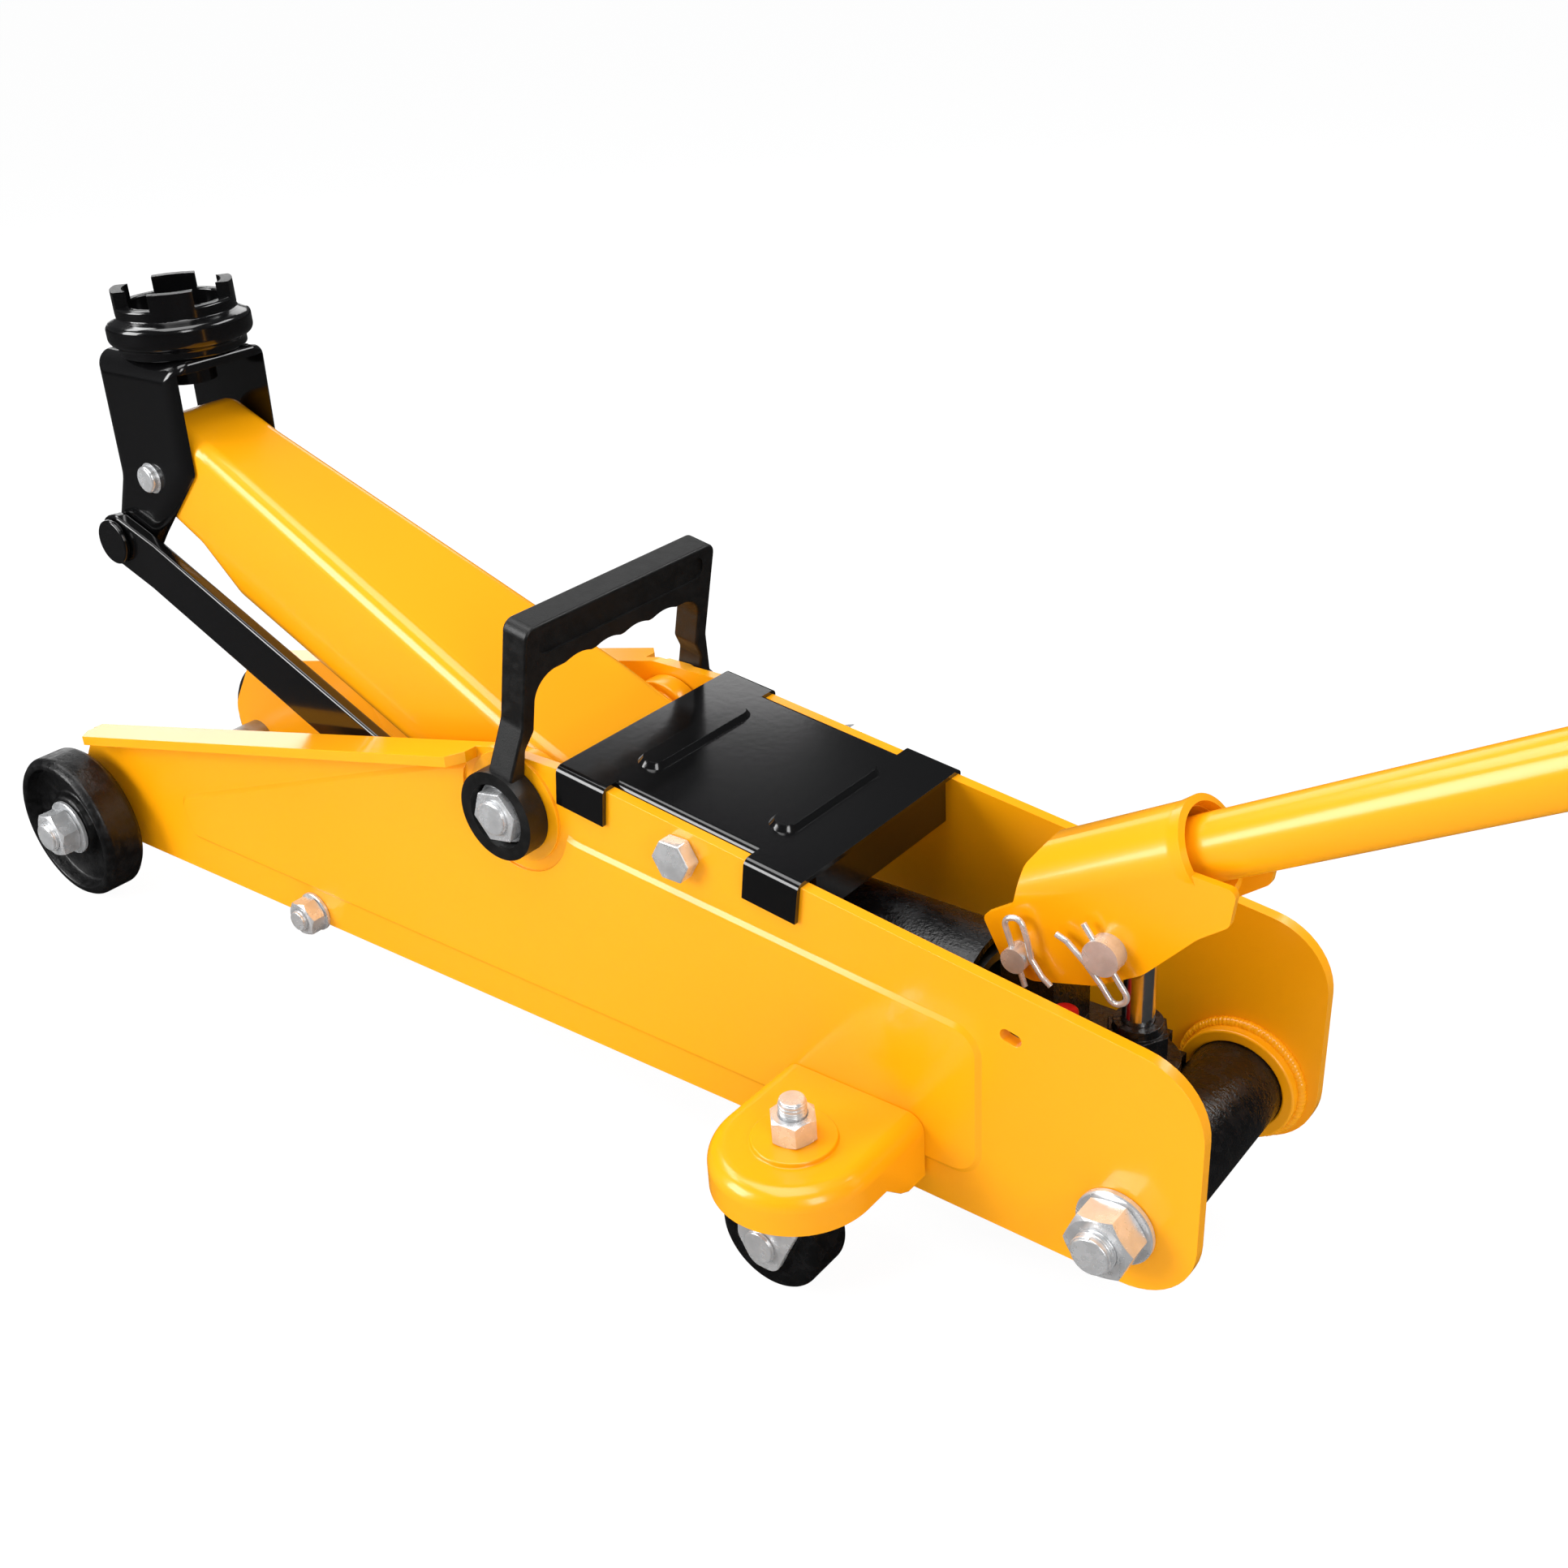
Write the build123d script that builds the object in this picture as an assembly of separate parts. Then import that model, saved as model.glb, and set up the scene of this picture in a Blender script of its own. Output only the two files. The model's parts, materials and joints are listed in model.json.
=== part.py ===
from build123d import *
import os
from math import atan2, cos, degrees, hypot, radians, sin

# Compact hydraulic trolley jack. Millimetres, +Z up, floor at Z = 0.
# Drawn with X measured from the front axle towards the handle and the left plate at -Y.

# Running and seating clearances
RUN = 0.05
SIDE = 0.4
SWEEP = 0.6

# Side plates
PLATE_OUT = 42.5
PLATE_T = 4.0
PLATE_REAR = 514.0
PLATE_TOP = 129.8
PLATE_FRONT_TOP = 72.0
PLATE_REAR_TOP = 99.8
PEAK_X = 256.0
FLANGE_W = 10.0
FLANGE_END = 249.0
PANEL_H = 1.0
BOSS_R = 20.0

# Tie bolts through both plates
ANCHOR_X = 337.5
ANCHOR_Z = 114.0
FRONT_TIE_X = 139.0
FRONT_TIE_Z = 26.5
BOLT_R = 4.0
BOLT_AF = 13.0

# Front wheels and axle
WHEEL_R = 32.0
WHEEL_W = 18.2
WHEEL_GAP = 4.8
AXLE_R = 6.0
AXLE_TUBE_R = 9.0
AXLE_NUT_AF = 18.0
AXLE_TAIL = 9.0

# Lift arm, links and saddle bracket
ARM_X = 264.9
ARM_Z = 110.4
ARM_LEN = 220.4
ARM_REST = 19.7
ARM_LOW = -10.5
ARM_HIGH = 66.0
LINK_DX = -24.5
LINK_DZ = -28.0
ARM_WALL = 4.0
ARM_HW_NOSE = 18.4
ARM_HW_ROOT = 30.5
ARM_TOP_ROOT = 15.5
ARM_TOP_NOSE = 26.0
ARM_BELLY = 28.0
SHAFT_R = 8.0
TUBE_R = 12.5
COLLAR_R = 16.0
BRACKET_HW = 22.4
BRACKET_T = 3.2
BRACKET_RISE = 46.3
BAR_W = 21.0
BAR_T = 5.2
PIN_R = 6.0
RIDGE_R = 6.5
PEEN_R = 5.2

# Saddle
SADDLE_SET = 6.3
SADDLE_R = 26.7
SADDLE_H = 13.0
LUG_H = 11.0
WALL_H = 5.4
STEM_R = 10.0
LUG_W = 16.0
LUG_TURN = 53.0
CUP_R = 18.0

# Ram and cylinder
RAM_P = 44.0
RAM_MID = 27.75
RAM_Z = 68.0
RAM_R = 11.0
ROLLER_R = 10.0
ROLLER_HW = 13.0
TANK_R = 24.0
TANK_WALL = 2.5
CYL_R = 17.0
BORE_R = 14.0
HEAD_X = 312.0
HEAD_L = 14.0
BLOCK_X = 424.0
BLOCK_HW = 28.0

# Pump block, socket and handle
TIE_X = 490.0
TIE_Z = 43.0
TIE_R = 6.0
CROSS_R = 15.0
RING_R = 19.0
RING_W = 5.5
PIVOT_X = 442.0
PIVOT_Z = 100.1
LEVER_X = 27.7
LEVER_Z = 10.8
SOCKET_PIN_R = 4.0
LEVER_PIN_R = 5.6
SOCKET_HW = 14.2
SHEET = 2.4
HANDLE_R = 9.525
HANDLE_TURN = 29.0
HANDLE_OFF = 14.2
HANDLE_IN = 26.0
HANDLE_JOIN = 292.0
HANDLE_END = 552.0
PUMP_LOW = -20.0
PUMP_HIGH = 30.0
PLUNGER_R = 4.8
PLUNGER_SET = 3.0
GLAND_Z = 67.6
GLAND_H = 13.0

# Carry handle
EYE_R = 16.0
EYE_T = 8.5
EYE_RECESS = 5.5
EYE_BORE = 9.5
GRIP_LEAN = 11.65
GRIP_TOP = 70.0
GRIP_H = 19.0
LEG_W = 10.5
DIP = 1.8
DIP_R = 14.5
DIP_PITCH = 14.0
LEG_SET = 3.1
LEG_T = 5.4
LEG_JOG = 25.0

# Casters
STUD_X = 401.0
STUD_SET = 29.5
EAR_Z = 53.0
EAR_R = 26.0
EAR_T = 3.0
EAR_SKIRT = 14.0
CASTER_R = 18.0
CASTER_W = 17.0
CASTER_TRAIL = 6.0
FORK_T = 2.4

# Cover
COVER_T = 1.6
COVER_X0 = 288.0
COVER_X1 = 384.0
TAB_W = 20.0
TAB_DROP = 12.5
FOLD_R = 2.6

PLATE_IN = PLATE_OUT - PLATE_T
FACE = PLATE_OUT + PANEL_H
C_A = cos(radians(ARM_REST))
S_A = sin(radians(ARM_REST))
B_X = ARM_X - ARM_LEN * C_A
B_Z = ARM_Z + ARM_LEN * S_A
C_X = B_X + LINK_DX
C_Z = B_Z + LINK_DZ
D_X = ARM_X + LINK_DX
D_Z = ARM_Z + LINK_DZ
C_H = cos(radians(HANDLE_TURN))
S_H = sin(radians(HANDLE_TURN))
LEVER_PX = PIVOT_X + LEVER_X
LEVER_PZ = PIVOT_Z + LEVER_Z
PLUNGER_X = LEVER_PX + PLUNGER_SET
HUB_OUT = PLATE_OUT + WHEEL_GAP + WHEEL_W
AXLE_END = HUB_OUT + AXLE_TAIL
EYE_OUT = FACE + EYE_T
LEG_OUT = PLATE_OUT + LEG_SET
LEG_IN = LEG_OUT - LEG_T
STUD_Y = FACE + STUD_SET
SADDLE_X = B_X + SADDLE_SET
BRACKET_TOP = B_Z + BRACKET_RISE
SADDLE_RIM_Z = BRACKET_TOP + SADDLE_H
SADDLE_TOP = SADDLE_RIM_Z + LUG_H


def side(y):
    """Side-view sketch plane: sketch x is X and sketch y is Z."""
    return Plane(origin=(0, y, 0), x_dir=(1, 0, 0), z_dir=(0, -1, 0))


def slab(face, y0, y1):
    """A side-view outline as thick as y0 to y1."""
    return extrude(side(y1) * face, amount=y1 - y0)


def plan(face, z0, z1):
    """A top-view outline as tall as z0 to z1."""
    return extrude(Pos(0, 0, z0) * face, amount=z1 - z0)


def shape(points, radius):
    """A closed outline with rounded corners."""
    return make_face(FilletPolyline(*points, radius=radius, close=True))


def rod_x(r, x0, x1, y, z):
    return Pos((x0 + x1) / 2, y, z) * Rot(0, 90, 0) * Cylinder(r, x1 - x0)


def rod_y(r, y0, y1, x, z):
    return Pos(x, (y0 + y1) / 2, z) * Rot(90, 0, 0) * Cylinder(r, y1 - y0)


def rod_z(r, z0, z1, x, y):
    return Pos(x, y, (z0 + z1) / 2) * Cylinder(r, z1 - z0)


def block(x0, x1, y0, y1, z0, z1):
    return Pos((x0 + x1) / 2, (y0 + y1) / 2, (z0 + z1) / 2) * Box(x1 - x0, y1 - y0, z1 - z0)


def hex_y(flats, y0, y1, x, z, turn=0.0):
    six = Pos(x, z) * Rot(0, 0, turn) * RegularPolygon(flats / 2, 6, major_radius=False)
    return slab(six, y0, y1)


def hex_z(flats, z0, z1, x, y, turn=0.0):
    six = Pos(x, y) * Rot(0, 0, turn) * RegularPolygon(flats / 2, 6, major_radius=False)
    return plan(six, z0, z1)


def ring_y(r1, r0, y0, y1, x, z):
    return rod_y(r1, y0, y1, x, z) - rod_y(r0, y0 - 1, y1 + 1, x, z)


def flip(piece):
    """The same piece on the right side."""
    return mirror(piece, about=Plane.XZ)


def spin_y(points, x, z):
    """A profile of radius and y turned about a Y axis."""
    face = make_face(Polyline(*[(r, y, 0) for r, y in points], close=True))
    turned = revolve(face, axis=Axis.Y, revolution_arc=360)
    return Pos(x, 0, z) * turned


def both(piece):
    """One node that holds the left piece and its twin."""
    return Compound(children=[Solid(piece.solids()[0].wrapped), Solid(flip(piece).solids()[0].wrapped)])


def group(*pieces):
    """One node that holds several loose solids."""
    return Compound(children=[Solid(s.wrapped) for p in pieces for s in p.solids()])


parts = {}

# Side plates: a flat sheet, a turned-out top flange, a raised panel and a pivot boss
TOP_SLOPE = (PLATE_TOP - PLATE_FRONT_TOP) / (PEAK_X - 3.0)
OUTLINE = [(3, PLATE_FRONT_TOP), (-15, 46), (-13, 20), (352, 24.4), (PLATE_REAR, 22.4),
           (PLATE_REAR, PLATE_REAR_TOP), (292, PLATE_TOP), (PEAK_X, PLATE_TOP)]
REAR_SLOPE = (PLATE_REAR_TOP - PLATE_TOP) / (PLATE_REAR - 292)


def plate_top(x):
    """Height of the rear top edge of the plates."""
    return PLATE_TOP + REAR_SLOPE * (x - 292)


plate = slab(shape(OUTLINE, [3, 14, 12, 0, 22, 22, 40, 14]), -PLATE_OUT, -PLATE_IN)
lip_pts = [(4.5, PLATE_FRONT_TOP + 1.5 * TOP_SLOPE),
           (FLANGE_END, PLATE_TOP - (PEAK_X - FLANGE_END) * TOP_SLOPE),
           (FLANGE_END, PLATE_TOP - (PEAK_X - FLANGE_END) * TOP_SLOPE - PLATE_T),
           (4.5, PLATE_FRONT_TOP + 1.5 * TOP_SLOPE - PLATE_T)]
lip = slab(make_face(Polyline(*lip_pts, close=True)), -PLATE_OUT - FLANGE_W, -PLATE_OUT)
lip_plan = Polyline((4.5, -PLATE_IN), (4.5, -PLATE_OUT - FLANGE_W + 6), (10.5, -PLATE_OUT - FLANGE_W),
                    (FLANGE_END - 5, -PLATE_OUT - FLANGE_W), (FLANGE_END, -PLATE_OUT - FLANGE_W + 5),
                    (FLANGE_END, -PLATE_IN), close=True)
lip = lip & plan(make_face(lip_plan), 0, PLATE_TOP + 10)
panel_pts = [(59, 55), (62, 37), (446, 37), (446, 90), (290, 105), (262, 126), (228, 116)]
panel = extrude(side(-PLATE_OUT) * shape(panel_pts, [6, 6, 10, 10, 12, 8, 12]), amount=PANEL_H, taper=60)
panel = panel - rod_y(BOSS_R + 4, -PLATE_OUT - 3, -PLATE_OUT + 3, ARM_X, ARM_Z)
pad = slab(Pos(ARM_X, ARM_Z) * Circle(BOSS_R), -FACE, -PLATE_OUT)
pad = pad & slab(shape(OUTLINE, [3, 14, 12, 0, 22, 22, 40, 14]), -FACE, -PLATE_OUT)
plate = plate + lip + panel + pad
slot = Pos(455.3, 92.4) * Rot(0, 0, -12) * SlotOverall(7.0, 4.0)
plate = plate - slab(slot, -PLATE_OUT - 3, -PLATE_IN + 3)
HOLES = [(0, WHEEL_R, AXLE_R), (ARM_X, ARM_Z, PIN_R), (ANCHOR_X, ANCHOR_Z, BOLT_R),
         (FRONT_TIE_X, FRONT_TIE_Z, BOLT_R), (TIE_X, TIE_Z, TIE_R)]
for hx, hz, hr in HOLES:
    plate = plate - rod_y(hr + RUN, -PLATE_OUT - 3, -PLATE_IN + 3, hx, hz)
parts["side_plate_left"] = plate
parts["side_plate_right"] = flip(plate)

# Caster brackets: pressed shells with a rounded shoulder, welded to the plates
def ear_outline(inset):
    """Top view of one bracket, from the plate round the stud."""
    r = EAR_R - inset
    tongue = Pos(STUD_X, -STUD_Y) * Circle(r)
    tail = make_face(Polyline((STUD_X - r, -FACE), (STUD_X + r, -FACE), (STUD_X + r, -STUD_Y),
                              (STUD_X - r, -STUD_Y), close=True))
    return tongue + tail


ear = plan(ear_outline(0), EAR_Z - EAR_SKIRT, EAR_Z)
brim = [e for e in ear.faces().sort_by(Axis.Z)[-1].edges() if e.center().Y < -FACE - 1]
ear = fillet(brim, 6.0)
hollow = plan(ear_outline(EAR_T), EAR_Z - EAR_SKIRT - 1, EAR_Z - EAR_T)
ear = ear - hollow + rod_z(13.0, EAR_Z - EAR_T, EAR_Z + 1.6, STUD_X, -STUD_Y)
gusset = Polyline((-FACE, EAR_Z - 8), (-FACE, EAR_Z - 22), (-FACE - 9, EAR_Z - 22),
                  (-FACE - 13, EAR_Z - 20), (-FACE - 20, EAR_Z - EAR_SKIRT), (-FACE - 20, EAR_Z - 8),
                  close=True)
gusset_plane = Plane(origin=(STUD_X + EAR_R, 0, 0), x_dir=(0, 1, 0), z_dir=(1, 0, 0))
ear = ear + extrude(gusset_plane * make_face(gusset), amount=-EAR_T)
ear = ear - rod_z(4.0 + RUN, EAR_Z - 8, EAR_Z + 5, STUD_X, -STUD_Y)
parts["caster_bracket_left"] = ear
parts["caster_bracket_right"] = flip(ear)
stud = rod_z(4.0, EAR_Z - 12.0, EAR_Z + 15.0, STUD_X, -STUD_Y)
stud = stud + rod_z(7.0, EAR_Z - 12.0, EAR_Z - 10.5, STUD_X, -STUD_Y)
parts["caster_studs"] = both(stud)
lock = hex_z(BOLT_AF, EAR_Z + 1.6, EAR_Z + 9.6, STUD_X, -STUD_Y, 12)
lock = lock - rod_z(BOLT_R, EAR_Z, EAR_Z + 12, STUD_X, -STUD_Y)
parts["caster_nuts"] = both(lock)

# Rear tie: collars on the plates, the cross tube belongs to the pump block
collar = ring_y(RING_R, CROSS_R + RUN, -PLATE_IN, -PLATE_IN + RING_W, TIE_X, TIE_Z)
parts["rear_collars"] = both(collar)
tie = rod_y(TIE_R, -PLATE_OUT - 16, PLATE_OUT + 2, TIE_X, TIE_Z)
tie = tie + hex_y(19.0, PLATE_OUT + 2, PLATE_OUT + 10, TIE_X, TIE_Z)
parts["rear_tie_bolt"] = tie
tie_nut = hex_y(19.0, -PLATE_OUT - 12, -PLATE_OUT - 2, TIE_X, TIE_Z, 8)
tie_nut = tie_nut - rod_y(TIE_R, -PLATE_OUT - 20, -PLATE_OUT, TIE_X, TIE_Z)
washer = ring_y(12.0, TIE_R, -PLATE_OUT - 2, -PLATE_OUT, TIE_X, TIE_Z)
parts["rear_tie_nut"] = group(tie_nut, washer, flip(washer))

# Pump block: cast body, cross tube, pivot lug and pump boss
lug_w = SOCKET_HW - SHEET - SIDE
cast = block(BLOCK_X, TIE_X - 14, -BLOCK_HW, BLOCK_HW, 32, GLAND_Z - 15)
cast = cast + block(BLOCK_X, TIE_X - 14, -BLOCK_HW, BLOCK_HW - 11, 32, GLAND_Z)
cast = cast + rod_y(CROSS_R, -PLATE_IN, PLATE_IN, TIE_X, TIE_Z)
cast = cast + rod_z(13.0, 34, GLAND_Z, PLUNGER_X, 0)
cast = cast + block(PIVOT_X - 9, PIVOT_X + 9, -lug_w, lug_w, GLAND_Z - 2, PIVOT_Z)
cast = cast + rod_y(9.0, -lug_w, lug_w, PIVOT_X, PIVOT_Z)
cast = cast - rod_y(TIE_R + RUN, -60, 60, TIE_X, TIE_Z)
cast = cast - rod_y(SOCKET_PIN_R + RUN, -60, 60, PIVOT_X, PIVOT_Z)
cast = cast - rod_z(PLUNGER_R + 0.4, 36, 120, PLUNGER_X, 0)
VALVE_Y = 8.0 - BLOCK_HW
VALVE_Z = 61.5
VALVE_X = TIE_X - 14
cast = cast - rod_x(5.0 + RUN, VALVE_X - 20, VALVE_X + 1, VALVE_Y, VALVE_Z)
parts["pump_block"] = cast
gland = hex_z(17.0, GLAND_Z, GLAND_Z + GLAND_H - 3, PLUNGER_X, 0)
gland = gland + rod_z(7.4, GLAND_Z, GLAND_Z + GLAND_H, PLUNGER_X, 0)
parts["pump_gland"] = gland - rod_z(PLUNGER_R + RUN, GLAND_Z - 5, GLAND_Z + 20, PLUNGER_X, 0)
plug = rod_z(5.5, GLAND_Z, 82, PIVOT_X + 16, -17) + rod_z(4.0, 82, 88, PIVOT_X + 16, -17)
parts["oil_filler_plug"] = plug

# Reservoir, pressure cylinder and head
tank = rod_x(TANK_R, HEAD_X + HEAD_L, BLOCK_X, 0, RAM_Z) - rod_x(TANK_R - TANK_WALL, 0, 600, 0, RAM_Z)
parts["reservoir_tube"] = tank
barrel = rod_x(CYL_R, HEAD_X + HEAD_L, BLOCK_X, 0, RAM_Z) - rod_x(BORE_R, 0, 600, 0, RAM_Z)
parts["pressure_cylinder"] = barrel
head = rod_x(TANK_R + 1.0, HEAD_X, HEAD_X + HEAD_L, 0, RAM_Z) - rod_x(RAM_R + RUN, 0, 600, 0, RAM_Z)
parts["cylinder_head"] = head

# Ram: it stands off the roller by the sweep of the roller's arc
PHI = radians(ARM_REST - RAM_MID)
ROLL_X = ARM_X - RAM_P * sin(PHI)
ROLL_Z = ARM_Z - RAM_P * cos(PHI)
RAM_RATE = 0.927 * RAM_P
RAM_GAP = 0.75
face_x = ROLL_X + ROLLER_R + RAM_GAP
RAM_BACK = RAM_RATE * radians(ARM_REST - ARM_LOW)
ram = rod_x(13.0, face_x, face_x + 7, 0, RAM_Z)
ram = ram + rod_x(RAM_R, face_x + 7, BLOCK_X - 6 - RAM_BACK, 0, RAM_Z)
ram = ram + rod_x(BORE_R - RUN, BLOCK_X - 16 - RAM_BACK, BLOCK_X - 2 - RAM_BACK, 0, RAM_Z)
parts["ram"] = ram

# Front axle, spacer tube, washers and nuts
axle = rod_y(AXLE_R, -AXLE_END, AXLE_END, 0, WHEEL_R)
parts["front_axle"] = axle
parts["axle_spacer_tube"] = ring_y(AXLE_TUBE_R, AXLE_R, -PLATE_IN, PLATE_IN, 0, WHEEL_R)
hub_in = PLATE_OUT + WHEEL_GAP
hub_face = HUB_OUT - 3.6
axle_washer = ring_y(12.0, AXLE_R, -hub_face - SIDE / 2 - 1.6, -hub_face - SIDE / 2, 0, WHEEL_R)
parts["axle_washers"] = both(axle_washer)
nut_in = hub_face + SIDE / 2 + 1.6
axle_nut = hex_y(AXLE_NUT_AF, -nut_in - 8.5, -nut_in, 0, WHEEL_R, 14) - rod_y(AXLE_R, -90, -40, 0, WHEEL_R)
parts["axle_nuts"] = both(axle_nut)

# Front wheels: cast disc with a raised rim and a dished face
tread = WHEEL_R
wheel_pts = [(AXLE_R + RUN, -PLATE_OUT - SIDE), (11, -PLATE_OUT - SIDE), (11.5, -hub_in),
             (tread - 3, -hub_in), (tread, -hub_in - 3), (tread, -HUB_OUT + 2.5), (tread - 2, -HUB_OUT),
             (tread - 4.5, -HUB_OUT), (tread - 5.5, -HUB_OUT + 5.5), (15, -HUB_OUT + 7),
             (13.5, -hub_face), (AXLE_R + RUN, -hub_face)]
wheel = spin_y(wheel_pts, 0, WHEEL_R)
parts["front_wheel_left"] = wheel
parts["front_wheel_right"] = flip(wheel)

# Arm pivot shaft and nuts
shaft = rod_y(SHAFT_R, -PLATE_IN, PLATE_IN, ARM_X, ARM_Z)
shaft = shaft + rod_y(PIN_R, -EYE_OUT - 2.4, EYE_OUT + 2.4, ARM_X, ARM_Z)
parts["arm_pivot_shaft"] = shaft
nut_seat = -EYE_OUT + EYE_RECESS - 0.3
pivot_nut = hex_y(17.0, -EYE_OUT - 0.8, nut_seat, ARM_X, ARM_Z, 10)
pivot_nut = pivot_nut + rod_y(11.0, nut_seat - 1.5, nut_seat, ARM_X, ARM_Z)
pivot_nut = pivot_nut + rod_y(EYE_BORE, nut_seat, -FACE, ARM_X, ARM_Z)
pivot_nut = pivot_nut - rod_y(PIN_R, -90, -30, ARM_X, ARM_Z)
parts["arm_pivot_nuts"] = both(pivot_nut)

# Spring anchor bolt and front tie
anchor = rod_y(BOLT_R, -PLATE_OUT, PLATE_OUT + 9, ANCHOR_X, ANCHOR_Z)
anchor = anchor + hex_y(BOLT_AF, -PLATE_OUT - 5.5, -PLATE_OUT, ANCHOR_X, ANCHOR_Z)
parts["spring_anchor_bolt"] = anchor
anchor_nut = hex_y(BOLT_AF, PLATE_OUT, PLATE_OUT + 6.5, ANCHOR_X, ANCHOR_Z, 20)
anchor_nut = anchor_nut - rod_y(BOLT_R, 0, 90, ANCHOR_X, ANCHOR_Z)
front_tie = rod_y(BOLT_R, -PLATE_OUT - 10, PLATE_OUT, FRONT_TIE_X, FRONT_TIE_Z)
front_tie = front_tie + hex_y(BOLT_AF, PLATE_OUT, PLATE_OUT + 5.5, FRONT_TIE_X, FRONT_TIE_Z)
parts["front_tie_bolt"] = front_tie
front_nut = hex_y(BOLT_AF, -PLATE_OUT - 8, -PLATE_OUT - 1.5, FRONT_TIE_X, FRONT_TIE_Z, 10)
front_nut = front_nut - rod_y(BOLT_R, -90, 0, FRONT_TIE_X, FRONT_TIE_Z)
front_washer = ring_y(8.0, BOLT_R, -PLATE_OUT - 1.5, -PLATE_OUT, FRONT_TIE_X, FRONT_TIE_Z)
parts["tie_nuts"] = group(anchor_nut, front_nut, front_washer)
parts["front_tie_spacer"] = ring_y(7.0, BOLT_R, -PLATE_IN, PLATE_IN, FRONT_TIE_X, FRONT_TIE_Z)

# Link bar stubs welded inside the plates
BAR_IN_D = PLATE_IN - SIDE - BAR_T
stub = rod_y(PIN_R, -PLATE_IN, -BAR_IN_D + SIDE, D_X, D_Z)
parts["link_pivot_stubs"] = both(stub)

# Lift arm: a pressed channel drawn along the line from its pivot to the saddle pin
def arm_plane(y):
    """Sketch plane along the arm: sketch x runs to the saddle pin, sketch y is square to it."""
    return Plane(origin=(ARM_X, y, ARM_Z), x_dir=(-C_A, 0, S_A), z_dir=(0, 1, 0))


LOBE_U = -RAM_P * sin(radians(RAM_MID))
LOBE_V = -RAM_P * cos(radians(RAM_MID))


def arm_top(u, inset):
    return ARM_TOP_ROOT + (ARM_TOP_NOSE - ARM_TOP_ROOT) * u / (ARM_LEN + 4) - inset


def arm_plan(inset):
    """Top view of the arm, wide at the root and narrow at the nose."""
    r = ARM_HW_ROOT - inset
    n = ARM_HW_NOSE - inset
    u0 = 0.09 * ARM_LEN
    u1 = 0.885 * ARM_LEN
    end = ARM_LEN + 40
    pts = [(-60, -r), (u0, -r), (u1, -n), (end, -n), (end, n), (u1, n), (u0, r), (-60, r)]
    flat = Plane(origin=(ARM_X, 0, ARM_Z), x_dir=(-C_A, 0, S_A), z_dir=(S_A, 0, C_A))
    return extrude(flat * shape(pts, [0, 90, 90, 0, 0, 90, 90, 0]), amount=90, both=True)


skin = [(-COLLAR_R - 1, 4), (-13, arm_top(-6, 0)), (ARM_LEN + 4, arm_top(ARM_LEN + 4, 0)),
        (ARM_LEN + 11, 4), (ARM_LEN - 4, -17), (0.889 * ARM_LEN, -20), (0.771 * ARM_LEN, -ARM_BELLY),
        (0.29 * ARM_LEN, -ARM_BELLY), (0.109 * ARM_LEN, -22), (LOBE_U + 13, LOBE_V - 2),
        (LOBE_U + 6, LOBE_V - 11), (LOBE_U - 8, LOBE_V - 9),
        (LOBE_U - 11, LOBE_V + 4)]
arm = extrude(arm_plane(-70) * shape(skin, [0, 11, 10, 0, 8, 12, 14, 14, 14, 6, 5, 6, 6]), amount=140)
arm = arm & arm_plan(0)
ridges = [e for e in arm.edges() if e.length > 120 and arm_plane(0).to_local_coords(e).center().Y > 8]
arm = fillet(ridges, RIDGE_R)
inner_skin = [(-10, 0), (-8, arm_top(-6, ARM_WALL)), (ARM_LEN - 2, arm_top(ARM_LEN - 2, ARM_WALL)),
              (ARM_LEN + 30, 0), (ARM_LEN + 30, -90), (-60, -90), (-60, -24)]
cavity = extrude(arm_plane(-70) * make_face(Polyline(*inner_skin, close=True)), amount=140)
arm = arm - (cavity & arm_plan(ARM_WALL))
arm = arm - rod_y(TUBE_R, -60, 60, ARM_X, ARM_Z)
arm = arm - rod_y(PIN_R + RUN, -60, 60, B_X, B_Z)
arm = arm - rod_y(PIN_R, -60, 60, ROLL_X, ROLL_Z)
parts["lift_arm"] = arm
pivot_tube = rod_y(TUBE_R, -PLATE_IN + SIDE, PLATE_IN - SIDE, ARM_X, ARM_Z)
for y0 in (ARM_HW_ROOT, -PLATE_IN + SIDE):
    y1 = y0 + (PLATE_IN - SIDE - ARM_HW_ROOT)
    pivot_tube = pivot_tube + rod_y(COLLAR_R, y0, y1, ARM_X, ARM_Z)
parts["arm_pivot_tube"] = pivot_tube - rod_y(SHAFT_R + RUN, -60, 60, ARM_X, ARM_Z)
parts["ram_pin"] = rod_y(PIN_R, -ARM_HW_ROOT - 1, ARM_HW_ROOT + 1, ROLL_X, ROLL_Z)
parts["ram_roller"] = ring_y(ROLLER_R, PIN_R, -ROLLER_HW, ROLLER_HW, ROLL_X, ROLL_Z)

# Return springs from the anchor bolt to the ram pin; they stretch as the arm lifts
SPRING_Y = 20.0
SPRING_R = 4.0
gap_x = ROLL_X - ANCHOR_X
gap_z = ROLL_Z - ANCHOR_Z
span = hypot(gap_x, gap_z)
coil_plane = Plane(origin=(ANCHOR_X, -SPRING_Y, ANCHOR_Z), x_dir=(0, 1, 0),
                   z_dir=(gap_x / span, 0, gap_z / span))
coil = coil_plane * rod_z(SPRING_R, 5, span - 7, 0, 0)
coil = coil + rod_y(6.0, -SPRING_Y - 1.2, -SPRING_Y + 1.2, ANCHOR_X, ANCHOR_Z)
coil = coil + rod_y(8.0, -SPRING_Y - 1.2, -SPRING_Y + 1.2, ROLL_X, ROLL_Z)
coil = coil - rod_y(BOLT_R, -60, 0, ANCHOR_X, ANCHOR_Z) - rod_y(PIN_R, -60, 0, ROLL_X, ROLL_Z)
parts["return_springs"] = both(coil)

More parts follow.
